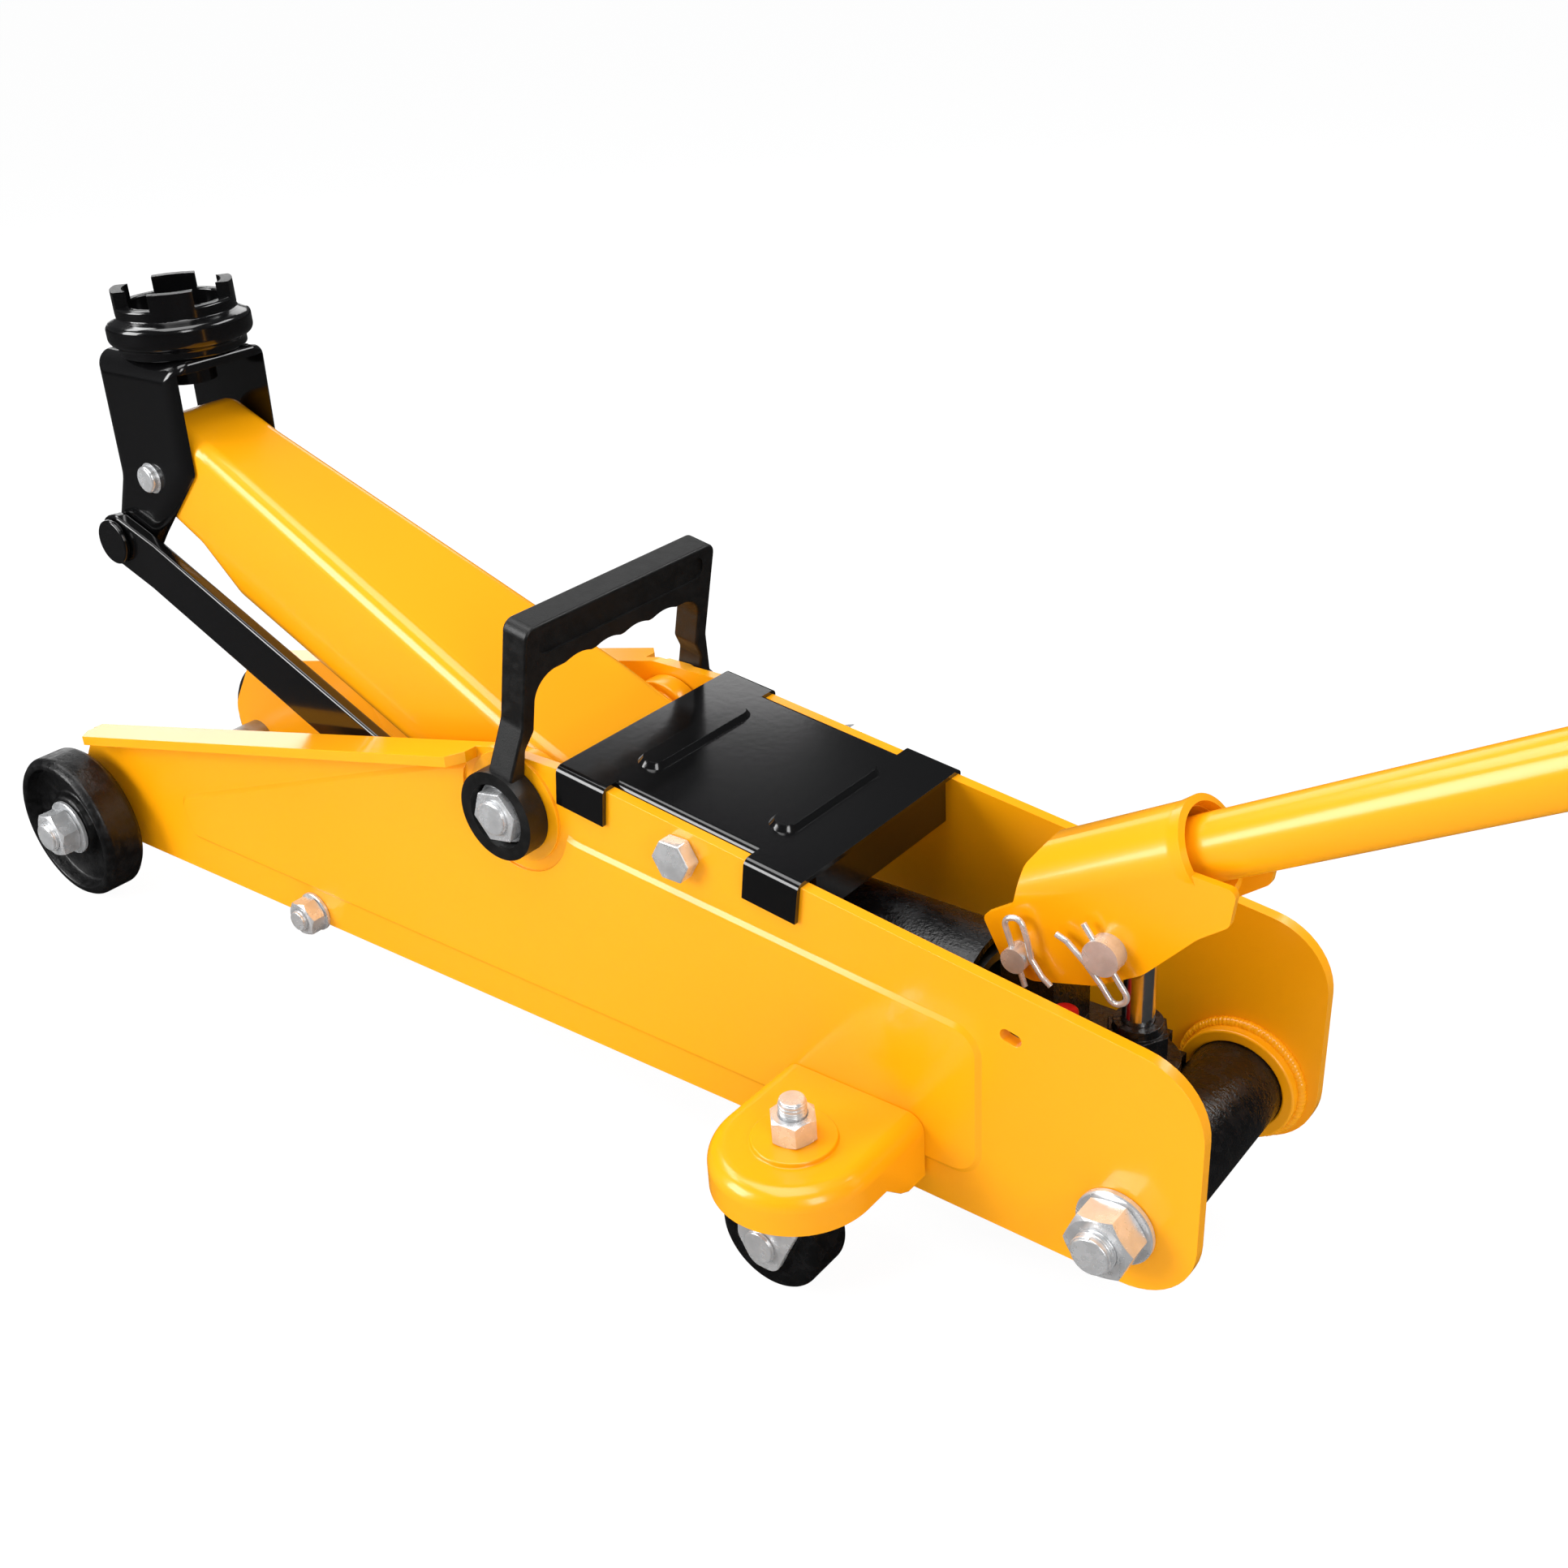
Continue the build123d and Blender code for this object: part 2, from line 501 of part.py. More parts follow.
# Saddle bracket: a folded channel over the arm nose
cheek_pts = [(B_X - 23.5, BRACKET_TOP), (B_X + 29, BRACKET_TOP), (B_X + 27, B_Z + 3),
             (B_X - 0.6, B_Z - 24.5), (C_X + 11, C_Z - 11), (C_X - 11, C_Z - 11), (C_X - 11, C_Z + 4),
             (B_X - 25, B_Z - 1.5)]
cheek = shape(cheek_pts, [2, 2, 5, 4, 9, 9, 8, 10])
bracket = slab(cheek, -BRACKET_HW, BRACKET_HW)
folds = [e for e in bracket.edges() if e.length > 30 and abs(e.center().Z - BRACKET_TOP) < 0.1
         and abs(abs(e.center().Y) - BRACKET_HW) < 0.1]
bracket = fillet(folds, 8.0)
roof_z = BRACKET_TOP - BRACKET_T - 0.8
bracket = bracket - block(-50, 200, -BRACKET_HW + BRACKET_T, BRACKET_HW - BRACKET_T, 0, roof_z)
bracket = bracket - rod_y(PIN_R, -60, 60, B_X, B_Z) - rod_y(PIN_R, -60, 60, C_X, C_Z)
bracket = bracket - rod_z(STEM_R + RUN, roof_z - 10, BRACKET_TOP + 10, SADDLE_X, 0)
parts["saddle_bracket"] = bracket
saddle_pin = rod_y(PIN_R, -BRACKET_HW, BRACKET_HW, B_X, B_Z)
saddle_pin = saddle_pin + rod_y(PEEN_R, -BRACKET_HW - 3.0, BRACKET_HW + 3.0, B_X, B_Z)
peened = [e for e in saddle_pin.edges() if abs(e.center().Y) > BRACKET_HW + 2.9]
parts["saddle_pin"] = fillet(peened, 1.2)
BAR_IN_C = BRACKET_HW + SWEEP
rivet = rod_y(PIN_R, -BAR_IN_C - BAR_T - SIDE, -BRACKET_HW + BRACKET_T, C_X, C_Z)
rivet = rivet + rod_y(9.0, -BAR_IN_C - BAR_T - SIDE - 2.4, -BAR_IN_C - BAR_T - SIDE, C_X, C_Z)
parts["link_rivets"] = both(rivet)

# Link bars: flat bars set outwards from the bracket to the plates
bar_len = hypot(C_X - D_X, C_Z - D_Z)
bar_pts = [(-14, BAR_IN_D), (20, BAR_IN_D), (bar_len - 22, BAR_IN_C), (bar_len + 14, BAR_IN_C),
           (bar_len + 14, BAR_IN_C + BAR_T), (bar_len - 22, BAR_IN_C + BAR_T), (20, BAR_IN_D + BAR_T),
           (-14, BAR_IN_D + BAR_T)]
bar_flat = Plane(origin=(D_X, 0, D_Z), x_dir=(-C_A, 0, S_A), z_dir=(S_A, 0, C_A))
bar = extrude(bar_flat * make_face(Polyline(*bar_pts, close=True)), amount=BAR_W / 2, both=True)
bar_side = Plane(origin=(D_X, -60, D_Z), x_dir=(-C_A, 0, S_A), z_dir=(0, 1, 0))
stadium = Pos(bar_len / 2, 0) * SlotCenterToCenter(bar_len, BAR_W)
bar = bar & extrude(bar_side * stadium, amount=60)
bar = bar - rod_y(PIN_R + RUN, -60, 0, D_X, D_Z) - rod_y(PIN_R + RUN + 0.05, -60, 0, C_X, C_Z)
parts["link_bar_left"] = bar
parts["link_bar_right"] = flip(bar)

# Saddle: cast cup with a low wall and four lugs
cup_pts = [(0, BRACKET_TOP + RUN), (23.6, BRACKET_TOP + RUN), (23.6, BRACKET_TOP + 3.2),
           (SADDLE_R, BRACKET_TOP + 5.2), (SADDLE_R, SADDLE_RIM_Z - 0.8), (23.4, SADDLE_RIM_Z + 0.6),
           (22.2, SADDLE_RIM_Z + 1.2), (22.2, SADDLE_RIM_Z + WALL_H), (CUP_R, SADDLE_RIM_Z + WALL_H),
           (CUP_R, SADDLE_RIM_Z - 1), (0, SADDLE_RIM_Z - 1)]
cup_face = shape(cup_pts, [0, 0.8, 1.5, 3.0, 2.4, 0.6, 0.6, 1.2, 0.8, 0, 0])
cup = revolve(Plane.XZ * cup_face, axis=Axis.Z, revolution_arc=360)
cup = cup + Pos(0, 0, BRACKET_TOP - 5.5) * Cylinder(STEM_R, 13)
lug_ring = Pos(0, 0, (SADDLE_RIM_Z + SADDLE_TOP) / 2) * (
    Cylinder(22.2, SADDLE_TOP - SADDLE_RIM_Z) - Cylinder(CUP_R, SADDLE_TOP - SADDLE_RIM_Z))
for k in range(4):
    cut = Rot(0, 0, LUG_TURN + 90 * k) * block(10, 30, -LUG_W / 2, LUG_W / 2, SADDLE_RIM_Z - 0.5, SADDLE_TOP)
    cup = cup + (lug_ring & cut)
clip_at = Pos(0, 0, roof_z - SIDE - 0.8)
clip_cut = clip_at * (Cylinder(STEM_R + 2, 1.6) - Cylinder(STEM_R - 1.4, 1.6))
parts["saddle"] = Pos(SADDLE_X, 0, 0) * (cup - clip_cut)
ring = clip_at * (Cylinder(STEM_R + 2.6, 1.6) - Cylinder(STEM_R - 1.4, 1.6))
parts["saddle_ring"] = Pos(SADDLE_X, 0, 0) * ring

# Cover plate: folded sheet on the plate tops, with tabs outside the plates and lips inside them
def folded(half, drop, x0, x1):
    """A length of folded sheet: a flat top with a skirt on both sides."""
    t = COVER_T
    pts = [(-half, -drop), (-half, t), (half, t), (half, -drop), (half - t, -drop), (half - t, 0),
           (t - half, 0), (t - half, -drop)]
    across = Plane(origin=(x0, 0, plate_top(x0)), x_dir=(0, 1, 0), z_dir=(1, 0, REAR_SLOPE))
    run = hypot(x1 - x0, plate_top(x1) - plate_top(x0))
    return extrude(across * shape(pts, [0, FOLD_R, FOLD_R, 0, 0, 0, 0, 0]), amount=run)


tab_out = PLATE_OUT + 0.1 + COVER_T
lip_in = PLATE_IN - 0.3
cover = folded(lip_in, 5.0, COVER_X0 + TAB_W - 1, COVER_X1 - TAB_W + 1)
for x0 in (COVER_X0, COVER_X1 - TAB_W):
    cover = cover + folded(tab_out, TAB_DROP, x0, x0 + TAB_W)
flap_pts = [(COVER_X1 - COVER_T, plate_top(COVER_X1) - 14), (COVER_X1, plate_top(COVER_X1) - 14),
            (COVER_X1, plate_top(COVER_X1) + 1), (COVER_X1 - COVER_T, plate_top(COVER_X1) + 1)]
cover = cover + slab(make_face(Polyline(*flap_pts, close=True)), -35, 35)
for rib_x in (COVER_X0 + 21, COVER_X1 - 22):
    on_top = Plane(origin=(rib_x, 0, plate_top(rib_x) + COVER_T - 0.2), x_dir=(0, 1, 0),
                   z_dir=(-REAR_SLOPE, 0, 1))
    cover = cover + extrude(on_top * SlotOverall(52, 11), amount=2.2, taper=38)
parts["cover_plate"] = cover

# Handle socket: bent sheet with a round top, flat cheeks, an inner sleeve and a flared mouth
def along(s, off=0.0):
    """Point at s along the handle line from the foot of the socket pivot, off above the handle axis."""
    h = HANDLE_OFF + off
    return (PIVOT_X + s * C_H - h * S_H, PIVOT_Z + s * S_H + h * C_H)


MOUTH = 65.0
cheek_line = [along(-7.8, -0.3), (PIVOT_X - 6, PIVOT_Z - 5.8), (PIVOT_X + 3.3, PIVOT_Z - 8.5),
              (PIVOT_X + 24, PIVOT_Z - 2.5), (PIVOT_X + 38, PIVOT_Z + 6.2), (PIVOT_X + 53.5, PIVOT_Z + 23.5),
              (PIVOT_X + 62, PIVOT_Z + 30.1), (PIVOT_X + 63.5, PIVOT_Z + 41.4), along(MOUTH - 3, 0),
              along(MOUTH - 3, 20), along(30, 20), along(11.3, 10.4), along(4.7, 0.9)]
cheek_face = shape(cheek_line, [2.5, 5, 6, 12, 14, 8, 3, 2.5, 0.5, 0.5, 12, 5, 4])
mouth_x, mouth_z = along(0)
axis_plane = Plane(origin=(mouth_x, 0, mouth_z), x_dir=(0, 1, 0), z_dir=(C_H, 0, S_H))


def round_top(r, s0, s1):
    """A round top of radius r with straight sides below it, along the handle."""
    arch = Circle(r) + Pos(0, -30) * Rectangle(2 * r, 60)
    return axis_plane * extrude(Pos(0, 0, s0) * arch, amount=s1 - s0)


socket = round_top(SOCKET_HW, -30, 90) & slab(cheek_face, -SOCKET_HW - 1, SOCKET_HW + 1)
socket = socket - round_top(SOCKET_HW - SHEET, -31, 91)
bore = HANDLE_R + RUN
sleeve_pts = [(bore, 22), (bore, MOUTH - 12), (bore + 3.2, MOUTH), (bore + 5.4, MOUTH - 0.6),
              (SOCKET_HW - 0.4, MOUTH - 8), (SOCKET_HW - 0.4, 24), (SOCKET_HW - 2, 22)]
sleeve_face = make_face(Polyline(*[(r, 0, s) for r, s in sleeve_pts], close=True))
sleeve = revolve(sleeve_face, axis=Axis.Z, revolution_arc=360)
sleeve = axis_plane * sleeve
socket = socket + sleeve
socket = socket - axis_plane * rod_z(bore, 20, 90, 0, 0)
socket = socket - rod_y(SOCKET_PIN_R + RUN, -60, 60, PIVOT_X, PIVOT_Z)
socket = socket - rod_y(LEVER_PIN_R, -60, 60, LEVER_PX, LEVER_PZ)
clear_lug = rod_y(9.0 + SWEEP, -lug_w - 0.1, lug_w + 0.1, PIVOT_X, PIVOT_Z)
socket = socket - clear_lug
parts["handle_socket"] = socket
pin_out = SOCKET_HW + 3.4
WIRE_R = 0.9


def clipped_pin(r, x, z, turn):
    """A plain pin with a head on the far end and a wire clip through its near end."""
    pin = rod_y(r, -pin_out - 2, pin_out, 0, 0)
    pin = pin + rod_y(r + 1.5, pin_out, pin_out + 2, 0, 0)
    wire = FilletPolyline((0, -r - 5), (0, r + 9), (6, r + 9), (6, r + 2), (r + 1.2, 0), (r + 3, -r - 2),
                          (r + 5, -r - 5), radius=[2.6, 2.6, 2.5, 3.5, 2.5])
    start = Plane(origin=(0, -r - 5, 0), x_dir=(1, 0, 0), z_dir=(0, 1, 0))
    clip = sweep(start * Circle(WIRE_R), path=wire)
    clip = side(-pin_out) * Rot(0, 0, turn) * clip
    return Pos(x, 0, z) * (pin + clip)


parts["socket_pivot_pin"] = clipped_pin(SOCKET_PIN_R, PIVOT_X, PIVOT_Z, 20)
parts["plunger_pin"] = clipped_pin(LEVER_PIN_R, LEVER_PX, LEVER_PZ, -143)

# Plunger: a rod with a flat head that follows the swing of its pin
PUMP_RATE = 0.935 * LEVER_X
lever_r = hypot(LEVER_X, LEVER_Z)
lever_a = degrees(atan2(LEVER_Z, LEVER_X))
slip = 0.0
for k in range(41):
    q = radians(PUMP_LOW + (PUMP_HIGH - PUMP_LOW) * k / 40)
    lift = lever_r * sin(radians(lever_a) + q) - LEVER_Z
    slip = max(slip, PUMP_RATE * q - lift)
head_z = LEVER_PZ - LEVER_PIN_R - slip - SIDE
plunger = rod_z(PLUNGER_R, 50, head_z, PLUNGER_X, 0)
plunger = plunger + slab(Pos(LEVER_PX - 2, head_z - 2.5) * RectangleRounded(17, 5, 2), -6.5, 6.5)
parts["pump_plunger"] = plunger

# Release valve: a cross-slotted screw in the rear of the block
valve = rod_x(5.0, VALVE_X - 19, VALVE_X + 6.5, VALVE_Y, VALVE_Z)
valve = valve + rod_x(6.0, VALVE_X + SIDE, VALVE_X + 4, VALVE_Y, VALVE_Z)
valve = valve - block(VALVE_X + 4, VALVE_X + 10, VALVE_Y - 1.3, VALVE_Y + 1.3, VALVE_Z - 8, VALVE_Z + 8)
parts["release_valve"] = valve

# Handle: two tubes, a joint spigot, a spring button and a grip
def tube(s0, s1, r1, r0):
    return axis_plane * (rod_z(r1, s0, s1, 0, 0) - rod_z(r0, s0 - 1, s1 + 1, 0, 0))


lower = tube(HANDLE_IN, HANDLE_JOIN, HANDLE_R, HANDLE_R - 1.5)
lower = lower + tube(HANDLE_JOIN - 8, HANDLE_JOIN + 40, HANDLE_R - 1.5, HANDLE_R - 3)
grip_start = HANDLE_END - 110
upper = tube(HANDLE_JOIN, HANDLE_END - 3, HANDLE_R, HANDLE_R - 1.5)
knob_dir = axis_plane * (Pos(HANDLE_R - 1, 0, HANDLE_JOIN + 22) * Rot(0, 90, 0) * Cylinder(3.2, 4.5))
parts["handle_lower_tube"] = lower - knob_dir
parts["handle_upper_tube"] = upper - knob_dir
parts["handle_button"] = knob_dir
grip = tube(grip_start, HANDLE_END, HANDLE_R + 2.6, HANDLE_R)
grip = grip + axis_plane * rod_z(HANDLE_R + 2.6, HANDLE_END - 3, HANDLE_END, 0, 0)
parts["handle_grip"] = grip

# Carry handle: a moulded frame with two eyes, jogged legs and a bar with finger dips
lean_dir = radians(GRIP_LEAN)
front = Plane(origin=(ARM_X, 0, ARM_Z), x_dir=(0, 1, 0), z_dir=(cos(lean_dir), 0, -sin(lean_dir)))
EYE_IN = FACE + SIDE
foot = EYE_OUT - 1.5
bar_z = GRIP_TOP - GRIP_H
outer = [(-foot, 0), (-foot, LEG_JOG - 9), (-LEG_OUT, LEG_JOG + 9), (-LEG_OUT, GRIP_TOP),
         (LEG_OUT, GRIP_TOP), (LEG_OUT, LEG_JOG + 9), (foot, LEG_JOG - 9), (foot, 0)]
inner = [(-EYE_IN, -1), (-EYE_IN, LEG_JOG), (-LEG_IN, LEG_JOG + 6), (-LEG_IN, bar_z),
         (LEG_IN, bar_z), (LEG_IN, LEG_JOG + 6), (EYE_IN, LEG_JOG), (EYE_IN, -1)]
hoop = shape(outer, [0, 8, 8, 4, 4, 8, 8, 0]) - shape(inner, [0, 3, 3, 9, 9, 3, 3, 0])
carry = extrude(front * hoop, amount=LEG_W / 2, both=True)
rims = [e for e in carry.edges() if abs(abs(front.to_local_coords(e).center().Z) - LEG_W / 2) < 0.01]
carry = fillet(rims, 1.0)
for k in range(4):
    dip = Pos(DIP_PITCH * (k - 1.5), bar_z + DIP - DIP_R, 0) * Cylinder(DIP_R, LEG_W + 2)
    carry = carry - front * dip
for s in (-1, 1):
    panel_face = Pos(0, GRIP_TOP - 7.2) * RectangleRounded(2 * LEG_OUT - 12, 8.5, 3.8)
    carry = carry - extrude(front.offset(s * (LEG_W / 2 - 0.9)) * panel_face, amount=s * 3)
    y0, y1 = sorted((s * EYE_IN, s * EYE_OUT))
    carry = carry + rod_y(EYE_R, y0, y1, ARM_X, ARM_Z)
for s in (-1, 1):
    y0, y1 = sorted((s * (EYE_OUT - EYE_RECESS), s * (EYE_OUT + 5)))
    carry = carry - rod_y(11.6, y0, y1, ARM_X, ARM_Z)
    y0, y1 = sorted((s * (FACE - 1), s * (EYE_OUT + 5)))
    carry = carry - rod_y(EYE_BORE + RUN, y0, y1, ARM_X, ARM_Z)
parts["carry_handle"] = carry

# Casters: fork, wheel rivet and wheel
WHEEL_X = STUD_X - CASTER_TRAIL
fork_in = CASTER_W / 2 + SWEEP
fork_out = fork_in + FORK_T
FORK_TOP = EAR_Z - 12.0 - SIDE
cheek_c = shape([(WHEEL_X - 9, CASTER_R), (WHEEL_X - 4, CASTER_R - 9), (WHEEL_X + 5, CASTER_R - 9),
                 (WHEEL_X + 9, CASTER_R), (STUD_X + 12, FORK_TOP - 4), (STUD_X + 12, FORK_TOP),
                 (STUD_X - 14, FORK_TOP), (STUD_X - 14, FORK_TOP - 5)], [5, 5, 5, 5, 2, 1, 1, 2])
fork = slab(cheek_c, -fork_out, fork_out)
fork = fork - block(0, 600, -fork_in, fork_in, 0, FORK_TOP - 3.0)
fork = fork - rod_y(3.5, -60, 60, WHEEL_X, CASTER_R)
fork = Pos(0, -STUD_Y, 0) * fork
fork = fork + rod_z(11.0, FORK_TOP - 1, FORK_TOP, STUD_X, -STUD_Y)
parts["caster_fork_left"] = fork
parts["caster_fork_right"] = flip(fork)
pin = rod_y(3.5, -fork_out, fork_out, WHEEL_X, CASTER_R)
pin = pin + rod_y(5.4, -fork_out - 1.8, -fork_out, WHEEL_X, CASTER_R)
pin = pin + rod_y(5.4, fork_out, fork_out + 1.8, WHEEL_X, CASTER_R)
pin = Pos(0, -STUD_Y, 0) * pin
parts["caster_rivet_left"] = pin
parts["caster_rivet_right"] = flip(pin)
h = CASTER_W / 2
roll_pts = [(3.5 + RUN, -h), (CASTER_R - 1.6, -h), (CASTER_R, -h + 1.6), (CASTER_R, h - 1.6),
            (CASTER_R - 1.6, h), (3.5 + RUN, h)]
roll = Pos(0, -STUD_Y, 0) * spin_y(roll_pts, WHEEL_X, CASTER_R)
parts["caster_wheel_left"] = roll
parts["caster_wheel_right"] = flip(roll)

# One shared shift puts the origin under the middle of the whole object
boxes = [p.bounding_box() for p in parts.values()]
X_MID = (min(b.min.X for b in boxes) + max(b.max.X for b in boxes)) / 2
Z_LOW = min(b.min.Z for b in boxes)
os.makedirs("parts", exist_ok=True)
for name, piece in parts.items():
    moved = piece.moved(Location((-X_MID, 0, -Z_LOW)))
    export_step(moved, "parts/" + name + ".step")

spots = {"arm": (ARM_X, 0, ARM_Z), "saddle_pin": (B_X, 0, B_Z), "link_low": (D_X, 0, D_Z),
         "link_high": (C_X, 0, C_Z),
         "axle": (0, 0, WHEEL_R), "stud": (STUD_X, -STUD_Y, 0), "caster": (WHEEL_X, -STUD_Y, CASTER_R),
         "socket": (PIVOT_X, 0, PIVOT_Z), "plunger": (PLUNGER_X, 0, 60), "valve": (VALVE_X, VALVE_Y, VALVE_Z),
         "handle": (mouth_x, 0, mouth_z), "saddle": (SADDLE_X, 0, SADDLE_RIM_Z - 1),
         "ram": (face_x, 0, RAM_Z),
         "grip": (ARM_X + (GRIP_TOP - GRIP_H) * sin(lean_dir), 0,
                  ARM_Z + (GRIP_TOP - GRIP_H) * cos(lean_dir))}
for name, (x, y, z) in spots.items():
    print("spot", name, round((x - X_MID) / 1000, 6), round(y / 1000, 6), round((z - Z_LOW) / 1000, 6))
print("rates", "ram m/rad", round(RAM_RATE / 1000, 6), "plunger m/rad", round(PUMP_RATE / 1000, 6))
print("X_MID", round(X_MID, 4), "Z_LOW", round(Z_LOW, 4), "nodes", len(parts))
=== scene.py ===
# %% [markdown]
# # Compact trolley jack: the looks
# The jack's solids come packed from its CAD model and stay where they are. This notebook gives them
# their paint, plating and castings, rounds the edges that a real press or mould would round, and adds
# the small repeating forms that CAD keeps plain: screw threads, spring coils, weld beads and nuts.
# The frame already says which body each solid rides on and which finish it takes, so both are read.

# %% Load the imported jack
import json
from math import atan2, cos, pi, radians, sin, sqrt, tan

import bmesh
import bpy
import numpy as np
from mathutils import Matrix, Vector


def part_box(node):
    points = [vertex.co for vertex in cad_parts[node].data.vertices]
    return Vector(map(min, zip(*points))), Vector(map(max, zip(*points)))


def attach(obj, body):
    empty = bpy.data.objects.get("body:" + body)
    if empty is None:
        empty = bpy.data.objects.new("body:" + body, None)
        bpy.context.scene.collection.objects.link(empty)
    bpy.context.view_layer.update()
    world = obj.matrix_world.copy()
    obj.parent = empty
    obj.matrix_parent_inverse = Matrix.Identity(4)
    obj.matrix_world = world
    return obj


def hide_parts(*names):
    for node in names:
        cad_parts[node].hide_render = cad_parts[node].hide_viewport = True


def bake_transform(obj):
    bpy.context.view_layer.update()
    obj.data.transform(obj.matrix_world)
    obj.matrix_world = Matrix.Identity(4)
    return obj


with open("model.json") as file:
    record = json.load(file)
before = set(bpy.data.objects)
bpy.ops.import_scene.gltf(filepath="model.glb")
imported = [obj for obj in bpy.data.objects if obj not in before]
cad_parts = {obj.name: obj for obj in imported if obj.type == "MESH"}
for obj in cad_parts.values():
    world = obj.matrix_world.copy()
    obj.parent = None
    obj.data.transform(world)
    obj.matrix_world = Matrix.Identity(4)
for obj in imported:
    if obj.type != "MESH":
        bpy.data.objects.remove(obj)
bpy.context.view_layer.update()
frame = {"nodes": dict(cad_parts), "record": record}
nodes = frame["nodes"]
slot_of = {part["node"]: part["material_slot"] for part in frame["record"]["subparts"]}
body_of = {n: b for b, names in frame["record"]["behaviour"]["bodies"].items() for n in names}
MM = 0.001

# %% [markdown]
# ## Camera
# The photograph looks down on the pump end from the left plate's side, with a small roll. A Track To
# constraint could aim a camera, but it leaves no roll, so the camera's three axes are worked out from
# azimuth, elevation and roll and go into its matrix. The values were solved from the bolts and corners
# that show on both side plates.

# %% Camera
CAMERA_PLACE = Vector((0.2126, -0.3839, 0.3826))
AZIMUTH = radians(39.20)
ELEVATION = radians(27.76)
ROLL = radians(-3.35)
LENS_MM = 40.17
SENSOR_MM = 36.0
NEAREST = 10 * MM

back = Vector((sin(AZIMUTH) * cos(ELEVATION), -cos(AZIMUTH) * cos(ELEVATION), sin(ELEVATION)))
level_right = Vector((cos(AZIMUTH), sin(AZIMUTH), 0))
level_up = back.cross(level_right)
right = level_right * cos(ROLL) + level_up * sin(ROLL)
up = back.cross(right)
turned = Matrix((right, up, back)).transposed().to_4x4()
camera_data = bpy.data.cameras.new("photo_camera")
camera_data.lens = LENS_MM
camera_data.sensor_width = SENSOR_MM
camera_data.clip_start = NEAREST
camera = bpy.data.objects.new("photo_camera", camera_data)
camera.matrix_world = Matrix.Translation(CAMERA_PLACE) @ turned
bpy.context.scene.collection.objects.link(camera)
bpy.context.scene.camera = camera
bpy.context.scene.view_settings.view_transform = "Standard"
print("camera at", [round(v, 3) for v in camera.location], "lens", LENS_MM)

# %% [markdown]
# ## Floor
# The photograph has a white ground with a faint shadow. A white floor under strong lamps would do for the
# ground, but gloss paint would mirror it and turn pale. So the floor's material asks the Light Path node
# what kind of ray has hit it. To the camera it is mostly plain white, to a reflection it is nearly black,
# and to all other light it is ordinary pale paper, which keeps the shadow.

# %% Floor
PAPER_GREY = (0.86, 0.86, 0.86, 1)
PAPER_ROUGH = 0.9
PAPER_GLOSS = 0.1
CAMERA_SHARE = 0.9
CAMERA_GLOW = 1.06
MIRROR_SHARE = 0.96
FLOOR_HALF = 40.0
FLOOR_DROP = -0.6 * MM


def new_material(name):
    """A node material with its tree and its principled shader."""
    material = bpy.data.materials.new(name)
    material.use_nodes = True
    tree = material.node_tree
    return material, tree, tree.nodes["Principled BSDF"]


def glow_for(ray, share, strength, tree, surface):
    """The surface, with a plain glow in its place for a share of one kind of ray."""
    rays = tree.nodes.new("ShaderNodeLightPath")
    glow = tree.nodes.new("ShaderNodeEmission")
    glow.inputs["Strength"].default_value = strength
    part = tree.nodes.new("ShaderNodeMath")
    part.operation = "MULTIPLY"
    part.inputs[1].default_value = share
    mix = tree.nodes.new("ShaderNodeMixShader")
    tree.links.new(rays.outputs[ray], part.inputs[0])
    tree.links.new(part.outputs[0], mix.inputs[0])
    tree.links.new(surface, mix.inputs[1])
    tree.links.new(glow.outputs[0], mix.inputs[2])
    return mix.outputs[0]


def paper_material():
    """Pale paper that is white to the camera and dark to reflections."""
    material, tree, paper = new_material("floor_paper")
    paper.inputs["Base Color"].default_value = PAPER_GREY
    paper.inputs["Roughness"].default_value = PAPER_ROUGH
    paper.inputs["Specular IOR Level"].default_value = PAPER_GLOSS
    mirrored = glow_for("Is Glossy Ray", MIRROR_SHARE, 0.0, tree, paper.outputs[0])
    shown = glow_for("Is Camera Ray", CAMERA_SHARE, CAMERA_GLOW, tree, mirrored)
    tree.links.new(shown, tree.nodes["Material Output"].inputs["Surface"])
    return material


square = [(x * FLOOR_HALF, y * FLOOR_HALF, FLOOR_DROP) for x, y in ((-1, -1), (1, -1), (1, 1), (-1, 1))]
floor_mesh = bpy.data.meshes.new("studio_floor")
floor_mesh.from_pydata(square, [], [(0, 1, 2, 3)])
floor_mesh.materials.append(paper_material())
floor = bpy.data.objects.new("studio_floor", floor_mesh)
bpy.context.scene.collection.objects.link(floor)
print("floor", round(FLOOR_HALF * 2), "m square,", round(-FLOOR_DROP / MM, 2), "mm under the wheels")

# %% [markdown]
# ## Room
# Light from all round fills the shadows under the chassis. A white picture of a studio could give it, but
# a plain World colour is enough. It follows the floor's idea: one strength lights the jack, a weaker one
# shows in reflections so that black stays black, and the camera sees white.

# %% Room
ROOM_TINT = (0.95, 0.97, 1.0, 1)
ROOM_STRENGTH = 0.37
ROOM_MIRRORED = 0.07


